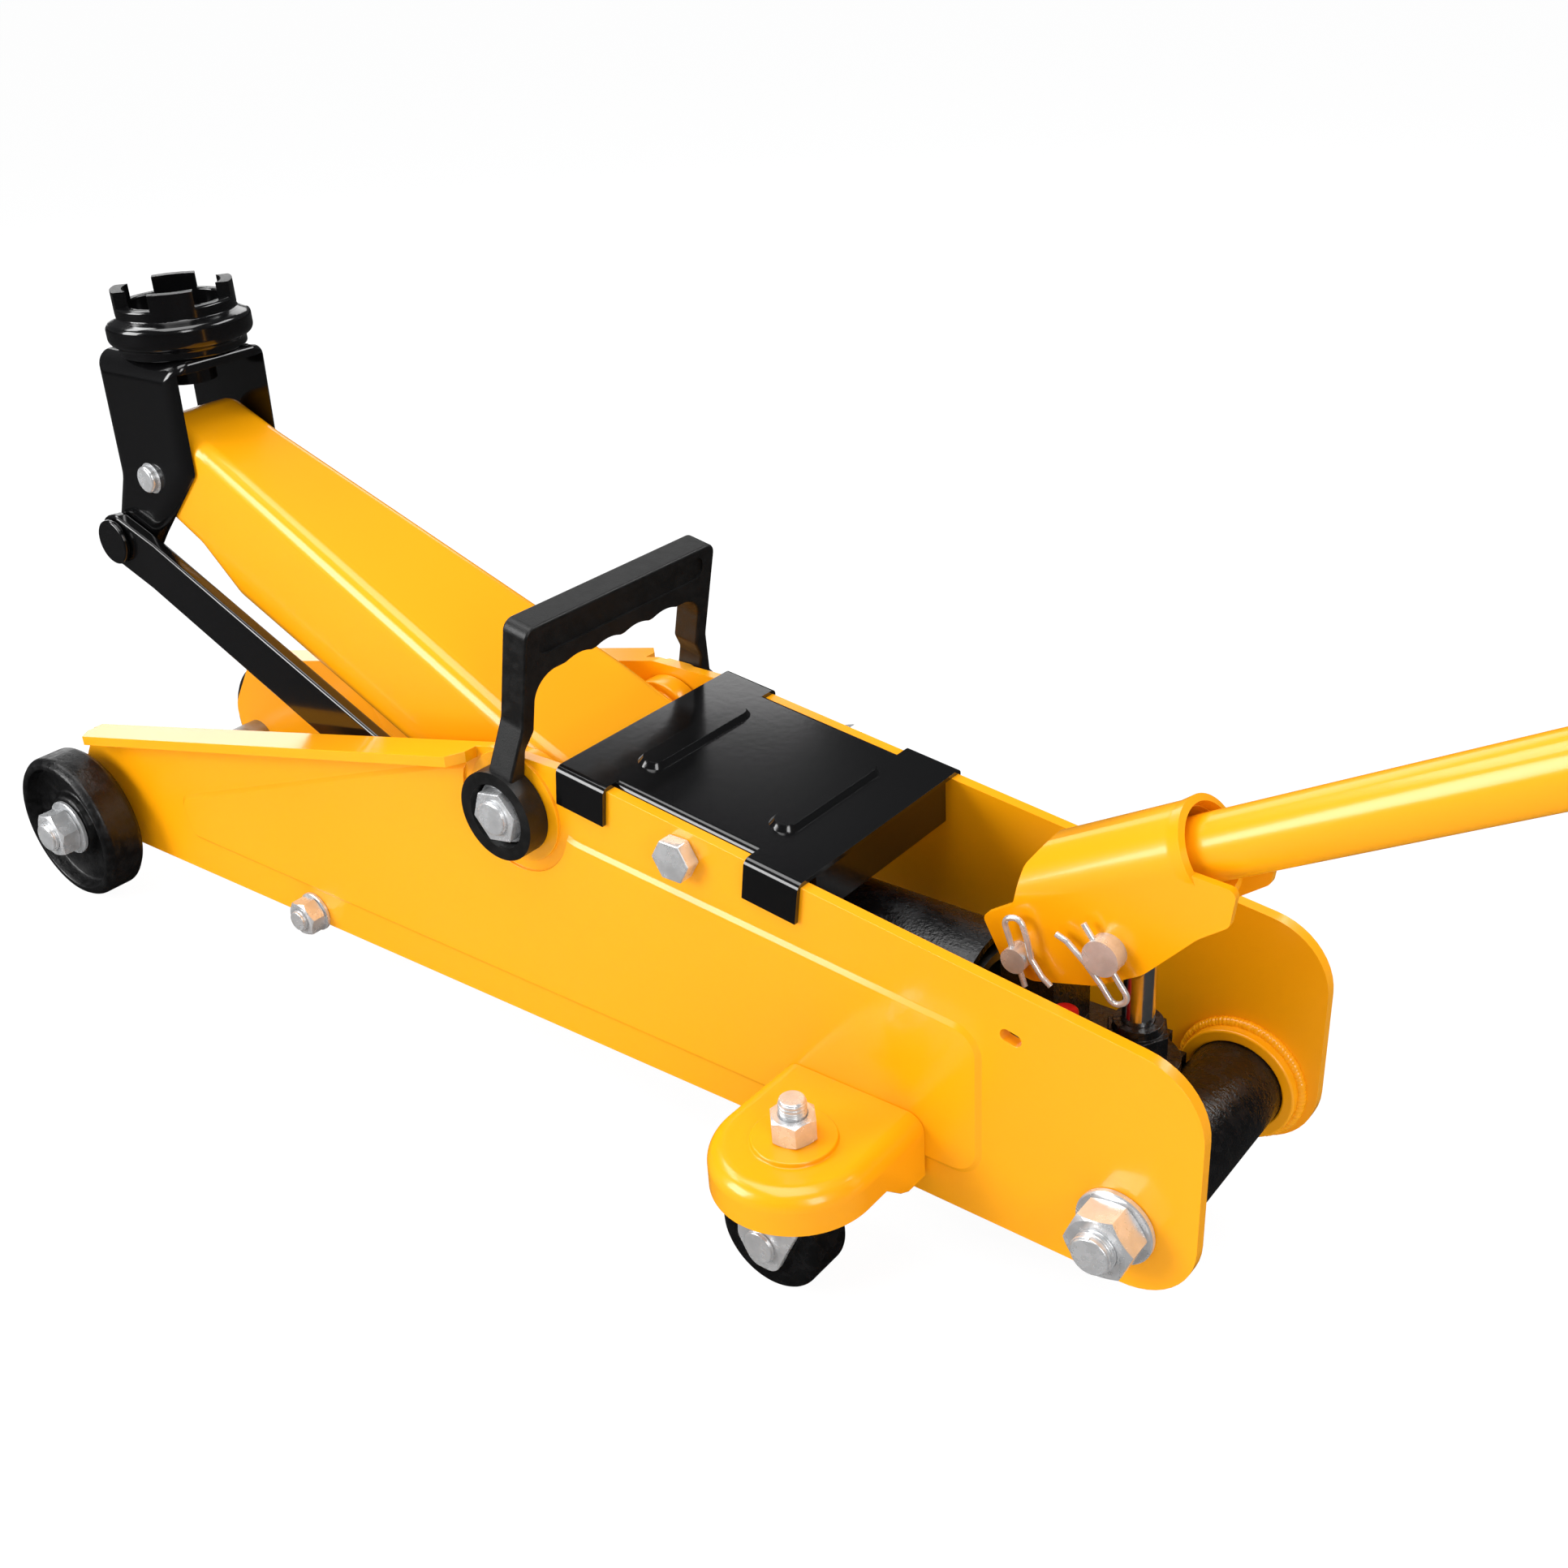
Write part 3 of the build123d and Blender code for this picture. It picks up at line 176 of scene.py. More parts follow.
def studio_room():
    """A World that lights, mirrors and shows with three different strengths."""
    world = bpy.data.worlds.new("studio_room")
    world.use_nodes = True
    tree = world.node_tree
    room = tree.nodes["Background"]
    room.inputs["Color"].default_value = ROOM_TINT
    rays = tree.nodes.new("ShaderNodeLightPath")
    dim = tree.nodes.new("ShaderNodeMapRange")
    dim.inputs["To Min"].default_value = ROOM_STRENGTH
    dim.inputs["To Max"].default_value = ROOM_MIRRORED
    white = tree.nodes.new("ShaderNodeBackground")
    white.inputs["Color"].default_value = (1, 1, 1, 1)
    mix = tree.nodes.new("ShaderNodeMixShader")
    tree.links.new(rays.outputs["Is Glossy Ray"], dim.inputs["Value"])
    tree.links.new(dim.outputs["Result"], room.inputs["Strength"])
    tree.links.new(rays.outputs["Is Camera Ray"], mix.inputs[0])
    tree.links.new(room.outputs[0], mix.inputs[1])
    tree.links.new(white.outputs[0], mix.inputs[2])
    tree.links.new(mix.outputs[0], tree.nodes["World Output"].inputs["Surface"])
    return world


bpy.context.scene.world = studio_room()
print("room lights at", ROOM_STRENGTH, "and mirrors at", ROOM_MIRRORED)

# %% [markdown]
# ## Softboxes
# Edges of painted steel show in a photograph because something bright is mirrored along them. Point lamps
# would leave hard shadows, so area lamps stand in for studio softboxes. The large one on top and the one
# facing the left plate do most of the work. The smaller ones draw streaks on the arm, saddle and cover.

# %% Softboxes
JACK_MIDDLE = Vector((-0.15, 0.0, 0.1))
SOFTBOXES = {
    "top_softbox": {"place": (-0.25, -0.15, 1.5), "width": 1.3, "height": 0.9, "watts": 14},
    "left_softbox": {"place": (-1.05, -1.3, 0.7), "width": 0.8, "height": 0.9, "watts": 21},
    "front_softbox": {"place": (-1.3, -0.15, 1.35), "width": 0.9, "height": 0.35, "watts": 6},
    "low_softbox": {"place": (-1.75, 0.75, 0.25), "width": 0.9, "height": 0.5, "watts": 3},
    "far_softbox": {"place": (-1.4, 1.1, 0.95), "width": 1.1, "height": 0.6, "watts": 4},
    "right_softbox": {"place": (1.25, -0.75, 0.85), "width": 0.5, "height": 0.9, "watts": 9},
    "rear_softbox": {"place": (0.35, 0.85, 1.1), "width": 0.9, "height": 0.4, "watts": 7},
}


def softbox(name, place, width, height, watts):
    """A rectangular area lamp that faces the jack."""
    lamp = bpy.data.lights.new(name, "AREA")
    lamp.shape = "RECTANGLE"
    lamp.size = width
    lamp.size_y = height
    lamp.energy = watts
    box = bpy.data.objects.new(name, lamp)
    box.location = place
    box.rotation_euler = (JACK_MIDDLE - Vector(place)).to_track_quat("-Z", "Y").to_euler()
    bpy.context.scene.collection.objects.link(box)


for name, size in SOFTBOXES.items():
    softbox(name, **size)
print("softboxes", list(SOFTBOXES))

# %% [markdown]
# ## Shared surface effects
# Sprayed paint, sand castings and plating each have a skin of their own. Image textures could carry it,
# but they need every piece unwrapped. Noise on Object coordinates has no seams and stays with its piece.
# Each skin is a node group that is built once and placed in every finish that needs it. It gives only a
# height and a mask, and the finish decides what they do. A scale counts ripples in one metre, so 420
# gives a ripple about every 2.4 mm.

# %% Paint ripple, cast grain and plated wear
PATCH_SCALE = 11.0
SPECK_SCALE = 260.0
SCRATCH_SCALE = 1500.0


def effect_group(name):
    """An empty effect: the group, its scale, its output node and its object coordinates."""
    group = bpy.data.node_groups.new(name, "ShaderNodeTree")
    group.interface.new_socket("Scale", in_out="INPUT", socket_type="NodeSocketFloat")
    for label in ("Height", "Mask"):
        group.interface.new_socket(label, in_out="OUTPUT", socket_type="NodeSocketFloat")
    start = group.nodes.new("NodeGroupInput")
    end = group.nodes.new("NodeGroupOutput")
    place = group.nodes.new("ShaderNodeTexCoord")
    return group, start.outputs["Scale"], end, place.outputs["Object"]


def noise(group, place, scale, detail, roughness=0.5):
    """Noise whose scale is a number or another node's output."""
    node = group.nodes.new("ShaderNodeTexNoise")
    node.inputs["Detail"].default_value = detail
    node.inputs["Roughness"].default_value = roughness
    group.links.new(place, node.inputs["Vector"])
    if isinstance(scale, float):
        node.inputs["Scale"].default_value = scale
    else:
        group.links.new(scale, node.inputs["Scale"])
    return node.outputs["Fac"]


def ramp(group, value, low, high):
    """The value stretched so that low becomes 0 and high becomes 1."""
    node = group.nodes.new("ShaderNodeMapRange")
    node.inputs["From Min"].default_value = low
    node.inputs["From Max"].default_value = high
    group.links.new(value, node.inputs["Value"])
    return node.outputs["Result"]


def paint_ripple():
    """The faint orange peel of sprayed paint, and broad patches that shift its tint."""
    group, scale, end, place = effect_group("paint_ripple")
    group.links.new(noise(group, place, scale, detail=1.0), end.inputs["Height"])
    group.links.new(noise(group, place, PATCH_SCALE, detail=0.0), end.inputs["Mask"])
    return group


def cast_grain():
    """The pebbled skin of a sand casting or a textured mould, and small specks on it."""
    group, scale, end, place = effect_group("cast_grain")
    specks = ramp(group, noise(group, place, SPECK_SCALE, detail=3.0), 0.42, 0.66)
    group.links.new(noise(group, place, scale, detail=3.0, roughness=0.6), end.inputs["Height"])
    group.links.new(specks, end.inputs["Mask"])
    return group


def plated_wear():
    """The cloudy, finely scratched look of zinc plating and drawn steel."""
    group, scale, end, place = effect_group("plated_wear")
    clouds = ramp(group, noise(group, place, scale, detail=4.0, roughness=0.65), 0.3, 0.7)
    group.links.new(noise(group, place, SCRATCH_SCALE, detail=2.0), end.inputs["Height"])
    group.links.new(clouds, end.inputs["Mask"])
    return group


RIPPLE = paint_ripple()
GRAIN = cast_grain()
WEAR = plated_wear()
print("effects", [effect.name for effect in (RIPPLE, GRAIN, WEAR)])

# %% [markdown]
# ## Finishes
# The jack has yellow and black gloss paint, black castings, moulded plastic, rubber, zinc and bare steel.
# Each could be a plain colour, but then large faces look like a drawing. So each finish joins one effect
# to a principled shader: the mask moves colour and roughness a little between two values, and the height
# makes a shallow bump. Colours are written as screen values, because a colour picker gives those, and are
# turned into linear light. Numbers that don't change over the surface sit on the shader itself.

# %% Finishes
COAT_ROUGH = 0.1


def linear(screen):
    """A screen colour as linear light, with full alpha."""
    return tuple(((c + 0.055) / 1.055) ** 2.4 if c > 0.04045 else c / 12.92 for c in screen) + (1.0,)


def finish(name, effect, scale, dark, light, rough, bump_mm, metal=0.0, coat=0.0, gloss=0.5):
    """A material from one effect: two screen colours, two roughness values and a bump height."""
    material, tree, shader = new_material(name)
    skin = tree.nodes.new("ShaderNodeGroup")
    skin.node_tree = effect
    skin.inputs["Scale"].default_value = scale
    colour = tree.nodes.new("ShaderNodeMix")
    colour.data_type = "RGBA"
    colour.inputs["A"].default_value = linear(dark)
    colour.inputs["B"].default_value = linear(light)
    tree.links.new(skin.outputs["Mask"], colour.inputs["Factor"])
    tree.links.new(colour.outputs["Result"], shader.inputs["Base Color"])
    spread = tree.nodes.new("ShaderNodeMapRange")
    spread.inputs["To Min"].default_value = rough[0]
    spread.inputs["To Max"].default_value = rough[1]
    tree.links.new(skin.outputs["Mask"], spread.inputs["Value"])
    tree.links.new(spread.outputs["Result"], shader.inputs["Roughness"])
    relief = tree.nodes.new("ShaderNodeBump")
    relief.inputs["Strength"].default_value = 1.0
    relief.inputs["Distance"].default_value = bump_mm * MM
    tree.links.new(skin.outputs["Height"], relief.inputs["Height"])
    tree.links.new(relief.outputs["Normal"], shader.inputs["Normal"])
    shader.inputs["Metallic"].default_value = metal
    shader.inputs["Coat Weight"].default_value = coat
    shader.inputs["Coat Roughness"].default_value = COAT_ROUGH
    shader.inputs["Specular IOR Level"].default_value = gloss
    return material


MATERIALS = {
    "yellow_paint": finish("yellow_gloss_paint", RIPPLE, 420.0, (0.965, 0.635, 0.02), (0.985, 0.66, 0.03),
                           rough=(0.22, 0.3), bump_mm=0.012, coat=0.3, gloss=0.45),
    "black_gloss": finish("black_gloss_paint", RIPPLE, 380.0, (0.025, 0.025, 0.028), (0.04, 0.04, 0.043),
                          rough=(0.12, 0.18), bump_mm=0.015, coat=0.5),
    "black_cast": finish("black_rough_casting", GRAIN, 700.0, (0.03, 0.03, 0.033), (0.06, 0.06, 0.064),
                         rough=(0.22, 0.34), bump_mm=0.3),
    "black_plastic": finish("black_moulded_plastic", GRAIN, 1800.0, (0.05, 0.05, 0.05), (0.08, 0.08, 0.08),
                            rough=(0.4, 0.5), bump_mm=0.05, gloss=0.4),
    "grip_rubber": finish("grip_soft_rubber", GRAIN, 1500.0, (0.06, 0.06, 0.06), (0.09, 0.09, 0.09),
                          rough=(0.6, 0.75), bump_mm=0.08, gloss=0.3),
    "wheel_black": finish("wheel_black_iron", GRAIN, 620.0, (0.035, 0.035, 0.037), (0.075, 0.075, 0.078),
                          rough=(0.3, 0.46), bump_mm=0.2, gloss=0.4),
    "caster_nylon": finish("caster_black_nylon", GRAIN, 1100.0, (0.04, 0.04, 0.042), (0.07, 0.07, 0.073),
                           rough=(0.22, 0.32), bump_mm=0.03, gloss=0.4),
    "zinc": finish("zinc_plating", WEAR, 130.0, (0.8, 0.805, 0.81), (0.92, 0.925, 0.93),
                   rough=(0.2, 0.32), bump_mm=0.04, metal=0.62),
    "grey_steel": finish("grey_drawn_steel", WEAR, 90.0, (0.5, 0.5, 0.5), (0.68, 0.68, 0.67),
                         rough=(0.3, 0.5), bump_mm=0.05, metal=1.0),
    "bright_steel": finish("bright_ground_steel", WEAR, 200.0, (0.8, 0.8, 0.8), (0.9, 0.9, 0.9),
                           rough=(0.1, 0.2), bump_mm=0.01, metal=1.0),
    "red_plastic": finish("red_filler_plastic", GRAIN, 1500.0, (0.72, 0.06, 0.05), (0.8, 0.09, 0.07),
                          rough=(0.3, 0.4), bump_mm=0.02),
}
for name, node in nodes.items():
    node.data.materials.clear()
    node.data.materials.append(MATERIALS[slot_of[name]])
print("finishes", len(MATERIALS), "on", len(nodes), "nodes")

# %% [markdown]
# ## Rounded edges
# Sheet steel that has been cut, folded and painted has no razor edges, and castings have generous ones.
# A bevel node in the material could fake that, but it is lost on export, so the geometry is bevelled. A
# CAD node's own mesh stays as it is: a copy is merged and cleaned, bevelled by a width that suits how the
# piece is made, and stands in for the node.

# %% A clean copy of a node, and a place for a finished mesh
SAME_PLACE = 0.002 * MM
SAME_PLANE = radians(0.3)


def clean_copy(name):
    """The node's mesh as a bmesh with shared corners and no needless edges."""
    shell = bmesh.new()
    shell.from_mesh(nodes[name].data)
    bmesh.ops.remove_doubles(shell, verts=shell.verts, dist=SAME_PLACE)
    bmesh.ops.dissolve_limit(shell, angle_limit=SAME_PLANE, verts=shell.verts, edges=shell.edges)
    return shell


def as_mesh(shell, name):
    """A smooth-shaded mesh from a bmesh, which is freed."""
    mesh = bpy.data.meshes.new(name)
    shell.to_mesh(mesh)
    shell.free()
    mesh.polygons.foreach_set("use_smooth", [True] * len(mesh.polygons))
    return mesh


def baked(maker):
    """A plain mesh with the maker's modifiers applied. The maker itself is removed."""
    bpy.context.view_layer.update()
    shown = maker.evaluated_get(bpy.context.evaluated_depsgraph_get())
    mesh = bpy.data.meshes.new_from_object(shown)
    bpy.data.objects.remove(maker)
    return mesh


def new_maker(mesh):
    """An object that only carries modifiers until it is baked."""
    maker = bpy.data.objects.new("maker", mesh)
    bpy.context.scene.collection.objects.link(maker)
    return maker


def place_piece(name, mesh, node_names, body, slot):
    """Puts a finished mesh into the scene in place of CAD nodes, or beside them."""
    piece = bpy.data.objects.new(name, mesh)
    bpy.context.scene.collection.objects.link(piece)
    mesh.materials.clear()
    mesh.materials.append(MATERIALS[slot])
    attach(piece, body)
    if node_names:
        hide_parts(*node_names)
    return piece


print("largest node", max(len(node.data.polygons) for node in nodes.values()), "faces before cleaning")

# %% [markdown]
# The Bevel modifier rounds every corner that turns by more than a limit, and the Weighted Normal modifier
# then keeps the broad faces flat. The side plates have a panel whose pressed edge slopes by only 30
# degrees. It would be shaded away as flat, so these two plates are bevelled from a gentler corner on.

# %% Soften the pressed, cast and moulded pieces
EDGE_MM = {
    "side_plate_left": 0.8, "side_plate_right": 0.8,
    "caster_bracket_left": 0.8, "caster_bracket_right": 0.8, "rear_collars": 0.8,
    "lift_arm": 1.0, "arm_pivot_tube": 0.6, "handle_socket": 0.7,
    "saddle": 1.1, "saddle_bracket": 0.9,
    "link_bar_left": 1.2, "link_bar_right": 1.2, "link_rivets": 0.8,
    "cover_plate": 0.6, "carry_handle": 0.4,
    "pump_block": 1.6, "pump_gland": 0.6, "cylinder_head": 1.0,
    "front_wheel_left": 0.9, "front_wheel_right": 0.9,
    "caster_wheel_left": 0.8, "caster_wheel_right": 0.8,
    "caster_fork_left": 0.5, "caster_fork_right": 0.5,
    "caster_rivet_left": 0.6, "caster_rivet_right": 0.6, "oil_filler_plug": 0.6,
    "spring_anchor_bolt": 0.6, "rear_tie_bolt": 0.7, "front_tie_bolt": 0.6,
    "arm_pivot_nuts": 0.5, "arm_pivot_shaft": 0.7, "front_axle": 0.7,
    "pump_plunger": 0.4, "release_valve": 0.4, "caster_studs": 0.6,
}
BEVEL_STEPS = 3
SHARP_CORNER = radians(32)
GENTLE_CORNER = radians(20)
BROAD_FACE_WEIGHT = 100


def soften(name, width, corner):
    """A copy of a node with its corners rounded, in the node's place."""
    maker = new_maker(as_mesh(clean_copy(name), "soft_" + name))
    bevel = maker.modifiers.new("edge", "BEVEL")
    bevel.width = width
    bevel.segments = BEVEL_STEPS
    bevel.limit_method = "ANGLE"
    bevel.angle_limit = corner
    weight = maker.modifiers.new("flat", "WEIGHTED_NORMAL")
    weight.weight = BROAD_FACE_WEIGHT
    weight.keep_sharp = True
    return place_piece("soft_" + name, baked(maker), [name], body_of[name], slot_of[name])


for name, width_mm in EDGE_MM.items():
    corner = GENTLE_CORNER if name.startswith("side_plate") else SHARP_CORNER
    piece = soften(name, width_mm * MM, corner)
    print(piece.name, len(piece.data.polygons), "faces")

# %% [markdown]
# ## Hexagon nuts
# A bought nut is a hexagon whose corners are turned off by a cone, which leaves curved edges on its flats.
# A bevel can't make those curves. A boolean with a cone could, but leaves thin faces, so each nut is
# skinned from rings of points instead. First the CAD solids are told apart and their corners are read.

# %% Read the nuts and washers
AXIS_NUMBER = {"Y": 1, "Z": 2}
ACROSS_AND_ALONG = {
    "Y": (Vector((0, 0, 1)), Vector((1, 0, 0)), Vector((0, 1, 0))),
    "Z": (Vector((1, 0, 0)), Vector((0, 1, 0)), Vector((0, 0, 1))),
}


def loose_parts(name):
    """Corner arrays of the separate solids in one node, always in the same order."""
    shell = clean_copy(name)
    seen = set()
    groups = []
    for first in shell.verts:
        if first in seen:
            continue
        seen.add(first)
        found = [first]
        for corner in found:
            for edge in corner.link_edges:
                other = edge.other_vert(corner)
                if other not in seen:
                    seen.add(other)
                    found.append(other)
        groups.append(np.array([corner.co[:] for corner in found]))
    shell.free()
    return groups


def layers(corners, axis):
    """A nut and the washer under it share a ring of corners, so they are told apart by their levels."""
    k = AXIS_NUMBER[axis]
    level = np.round(corners[:, k], 5)
    steps = np.unique(level)
    for j, (near, far) in enumerate(zip(steps, steps[1:])):
        outline = corners[level == (near if j == 0 else far)]
        both = np.concatenate([outline, outline])
        both[:len(outline), k] = near
        both[len(outline):, k] = far
        yield both


def across(corners, axis):
    """The middle of some corners, and their places in the plane across the axis."""
    side_a, side_b, along = ACROSS_AND_ALONG[axis]
    middle = Vector((corners.min(0) + corners.max(0)) / 2)
    offsets = [Vector(corner) - middle for corner in corners]
    return middle, np.array([[offset.dot(side_a), offset.dot(side_b)] for offset in offsets])


TURNED_NODES = {
    "axle_nuts": "Y", "rear_tie_nut": "Y", "tie_nuts": "Y", "caster_nuts": "Z", "axle_washers": "Y",
}
for name, axis in TURNED_NODES.items():
    print(name, "solids", len(loose_parts(name)))

# %% [markdown]
# The farthest corner gives a nut's size and its turn, so the flats stay where the CAD model has them. A
# ring runs round the nut at each level. Where the cone is wider than the hexagon the ring follows the
# flats, and elsewhere it follows the cone. A washer is the same stack with a round outline.

# %% Chamfered nuts
RING_STEPS = 72
# A hexagon has few corners out near its tips, and a round outline has many.
NEAR_TIP = 0.97
MOST_HEXAGON_CORNERS = 24
CONE_SHARE = 0.96
CONE_SLOPE = tan(radians(30))
LEAD_IN = 0.6 * MM
NUT_CREASE = radians(24)


def ring_stack(shell, rings):
    """Skins a closed loop of rings, each a list of points, into one solid."""
    made = [[shell.verts.new(point) for point in ring] for ring in rings]
    for near, far in zip(made, made[1:] + made[:1]):
        for k in range(len(near)):
            n = (k + 1) % len(near)
            shell.faces.new((near[k], near[n], far[n], far[k]))


def nut_rings(corners, axis):
    """Rings of a chamfered nut, or of a washer where the outline is round."""
    side_a, side_b, along = ACROSS_AND_ALONG[axis]
    middle, flat = across(corners, axis)
    half = float(np.ptp(corners[:, AXIS_NUMBER[axis]])) / 2
    reach = np.hypot(flat[:, 0], flat[:, 1])
    tip, bore = reach.max(), reach.min()
    farthest = flat[reach.argmax()]
    turn = atan2(farthest[1], farthest[0])
    hexagon = (reach > tip * NEAR_TIP).sum() <= MOST_HEXAGON_CORNERS
    lead = min(LEAD_IN, half / 2)
    cone = tip * sqrt(3) / 2 * CONE_SHARE if hexagon else tip - lead

    def edge(angle):
        if not hexagon:
            return tip
        return tip * cos(pi / 6) / cos((angle - turn) % (pi / 3) - pi / 6)

    def face(angle):
        return min(cone, edge(angle))

    def sloped(radius):
        return half - max(0.0, radius - cone) * CONE_SLOPE

    def ring(radius_at, height_at):
        points = []
        for k in range(RING_STEPS):
            angle = turn + 2 * pi * k / RING_STEPS
            radius = radius_at(angle)
            out = side_a * (radius * cos(angle)) + side_b * (radius * sin(angle))
            points.append(middle + out + along * height_at(radius))
        return points

    return [ring(lambda a: bore, lambda r: lead - half), ring(lambda a: bore + lead, lambda r: -half),
            ring(face, lambda r: -half), ring(edge, lambda r: -sloped(r)),
            ring(edge, sloped), ring(face, lambda r: half),
            ring(lambda a: bore + lead, lambda r: half), ring(lambda a: bore, lambda r: half - lead)]


def turned_nuts(name, axis):
    """All nuts or washers of one node as one piece, in the node's place."""
    shell = bmesh.new()
    for corners in loose_parts(name):
        for layer in layers(corners, axis):
            ring_stack(shell, nut_rings(layer, axis))
    bmesh.ops.recalc_face_normals(shell, faces=shell.faces)
    mesh = as_mesh(shell, "turned_" + name)
    mesh.set_sharp_from_angle(angle=NUT_CREASE)
    return place_piece("turned_" + name, mesh, [name], body_of[name], slot_of[name])


for name, axis in TURNED_NODES.items():
    piece = turned_nuts(name, axis)
    print(piece.name, len(piece.data.polygons), "faces")

# %% [markdown]
# ## Wound wire
# A screw thread and a coil spring are the same idea: a wire that climbs as it turns. The Screw modifier
# could make one, but each would need its own profile object. One Geometry Nodes tree makes all of them
# from named inputs. A spiral is the path, a small circle is the wire, and Curve to Mesh joins the two.

# %% Wound wire tree
WIRE_SIDES = 8


def open_tree(name, sockets):
    """A Geometry Nodes tree with named inputs, its input node, and each input's identifier by name."""
    tree = bpy.data.node_groups.new(name, "GeometryNodeTree")
    identifiers = {}
    for label, kind, value in sockets:
        socket = tree.interface.new_socket(label, in_out="INPUT", socket_type=kind)
        if value is not None:
            socket.default_value = value
        identifiers[label] = socket.identifier
    tree.interface.new_socket("Geometry", in_out="OUTPUT", socket_type="NodeSocketGeometry")
    return tree, tree.nodes.new("NodeGroupInput"), identifiers


def close_tree(tree, start, geometry):
    """Ends a tree: smooth shading, real geometry and the finish."""
    smooth = tree.nodes.new("GeometryNodeSetShadeSmooth")
    real = tree.nodes.new("GeometryNodeRealizeInstances")
    dress = tree.nodes.new("GeometryNodeSetMaterial")
    end = tree.nodes.new("NodeGroupOutput")
    tree.links.new(geometry, smooth.inputs["Geometry"])
    tree.links.new(smooth.outputs["Geometry"], real.inputs["Geometry"])
    tree.links.new(real.outputs["Geometry"], dress.inputs["Geometry"])
    tree.links.new(start.outputs["Finish"], dress.inputs["Material"])
    tree.links.new(dress.outputs["Geometry"], end.inputs["Geometry"])


def wound_wire_tree():
    """A wire wound into a coil along Z."""
    tree, start, identifiers = open_tree("wound_wire", [
        ("Radius", "NodeSocketFloat", 4 * MM), ("Height", "NodeSocketFloat", 10 * MM),
        ("Turns", "NodeSocketFloat", 8.0), ("Wire Radius", "NodeSocketFloat", 0.4 * MM),
        ("Steps", "NodeSocketInt", 24), ("Finish", "NodeSocketMaterial", None)])
    spiral = tree.nodes.new("GeometryNodeCurveSpiral")
    section = tree.nodes.new("GeometryNodeCurvePrimitiveCircle")
    section.inputs["Resolution"].default_value = WIRE_SIDES
    skin = tree.nodes.new("GeometryNodeCurveToMesh")
    skin.inputs["Fill Caps"].default_value = True
    tree.links.new(start.outputs["Radius"], spiral.inputs["Start Radius"])
    tree.links.new(start.outputs["Radius"], spiral.inputs["End Radius"])
    tree.links.new(start.outputs["Height"], spiral.inputs["Height"])
    tree.links.new(start.outputs["Turns"], spiral.inputs["Rotations"])
    tree.links.new(start.outputs["Steps"], spiral.inputs["Resolution"])
    tree.links.new(start.outputs["Wire Radius"], section.inputs["Radius"])
    tree.links.new(spiral.outputs["Curve"], skin.inputs["Curve"])
    tree.links.new(section.outputs["Curve"], skin.inputs["Profile Curve"])
    close_tree(tree, start, skin.outputs["Mesh"])
    return tree, identifiers


WOUND_WIRE = wound_wire_tree()
print("wound wire inputs", list(WOUND_WIRE[1]))

# %% [markdown]
# A tree does nothing until a modifier runs it. The helper below puts the modifier on an empty mesh, sets
# its inputs by their identifiers, and bakes the result to a plain mesh, which is then moved into place.

# %% Grow a mesh from a tree
def grown(growth, values):
    """Runs a Geometry Nodes tree with named values and gives back its plain mesh."""
    tree, identifiers = growth
    maker = new_maker(bpy.data.meshes.new("maker"))
    run = maker.modifiers.new("grow", "NODES")
    run.node_group = tree
    for label, value in values.items():
        run[identifiers[label]] = value
    return baked(maker)


def coil_between(a, b, radius, pitch, wire, slot, steps):
    """A coil whose axis runs from a to b."""
    rise = b - a
    mesh = grown(WOUND_WIRE, {"Radius": radius, "Height": rise.length, "Turns": rise.length / pitch,
                              "Wire Radius": wire, "Steps": steps, "Finish": MATERIALS[slot]})
    mesh.transform(Matrix.Translation(a) @ rise.to_track_quat("Z", "Y").to_matrix().to_4x4())
    return mesh


def joined(meshes, name):
    """One mesh from several, which are removed."""
    shell = bmesh.new()
    for mesh in meshes:
        shell.from_mesh(mesh)
        bpy.data.meshes.remove(mesh)
    whole = bpy.data.meshes.new(name)
    shell.to_mesh(whole)
    shell.free()
    return whole


TRIAL_END = Vector((0, 0, 10 * MM))
trial = coil_between(Vector(), TRIAL_END, radius=4 * MM, pitch=2 * MM, wire=0.4 * MM, slot="zinc", steps=24)
print("a trial coil of five turns has", len(trial.polygons), "faces")
bpy.data.meshes.remove(trial)

# %% [markdown]
# ## Screw threads
# The ends of the bolts, the axle and the caster studs stick out of their nuts, and their threads show. A
# bump in the material would leave a smooth outline, so the ridges are real. Each thread runs from its nut
# to just short of the tip, with the coarse pitch of its size. The nut's bore gives its radius.

# %% Threads on the bolts, axle and studs
COARSE_M8 = 1.25 * MM
COARSE_M12 = 1.75 * MM
RIDGE_SHARE = 0.3
RIDGE_SINK = 0.05 * MM
PLAIN_TIP = 0.7 * MM
THREAD_STEPS = 26


def side_parts(name, sign):
    """The solids of a node that lie on one side of the jack."""
    return [part for part in loose_parts(name) if part[:, 1].mean() * sign > 0]


def tip_thread(bolt, nuts, axis, side, pitch):
    """A thread on one end of a bolt. Ridges inside the nut are hidden, so it starts at either face."""
    (nut,) = side_parts(nuts, side)
    k = AXIS_NUMBER[axis]
    along = ACROSS_AND_ALONG[axis][2]
    outward = side if axis == "Y" else 1
    middle, flat = across(nut, axis)
    low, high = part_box(bolt)
    tip = high[k] if outward > 0 else low[k]
    start = middle + along * (nut[:, k].max() - middle[k])
    stop = middle + along * (tip - outward * PLAIN_TIP - middle[k])
    radius = np.hypot(flat[:, 0], flat[:, 1]).min() - RIDGE_SINK
    return coil_between(start, stop, radius, pitch, pitch * RIDGE_SHARE, "zinc", THREAD_STEPS)


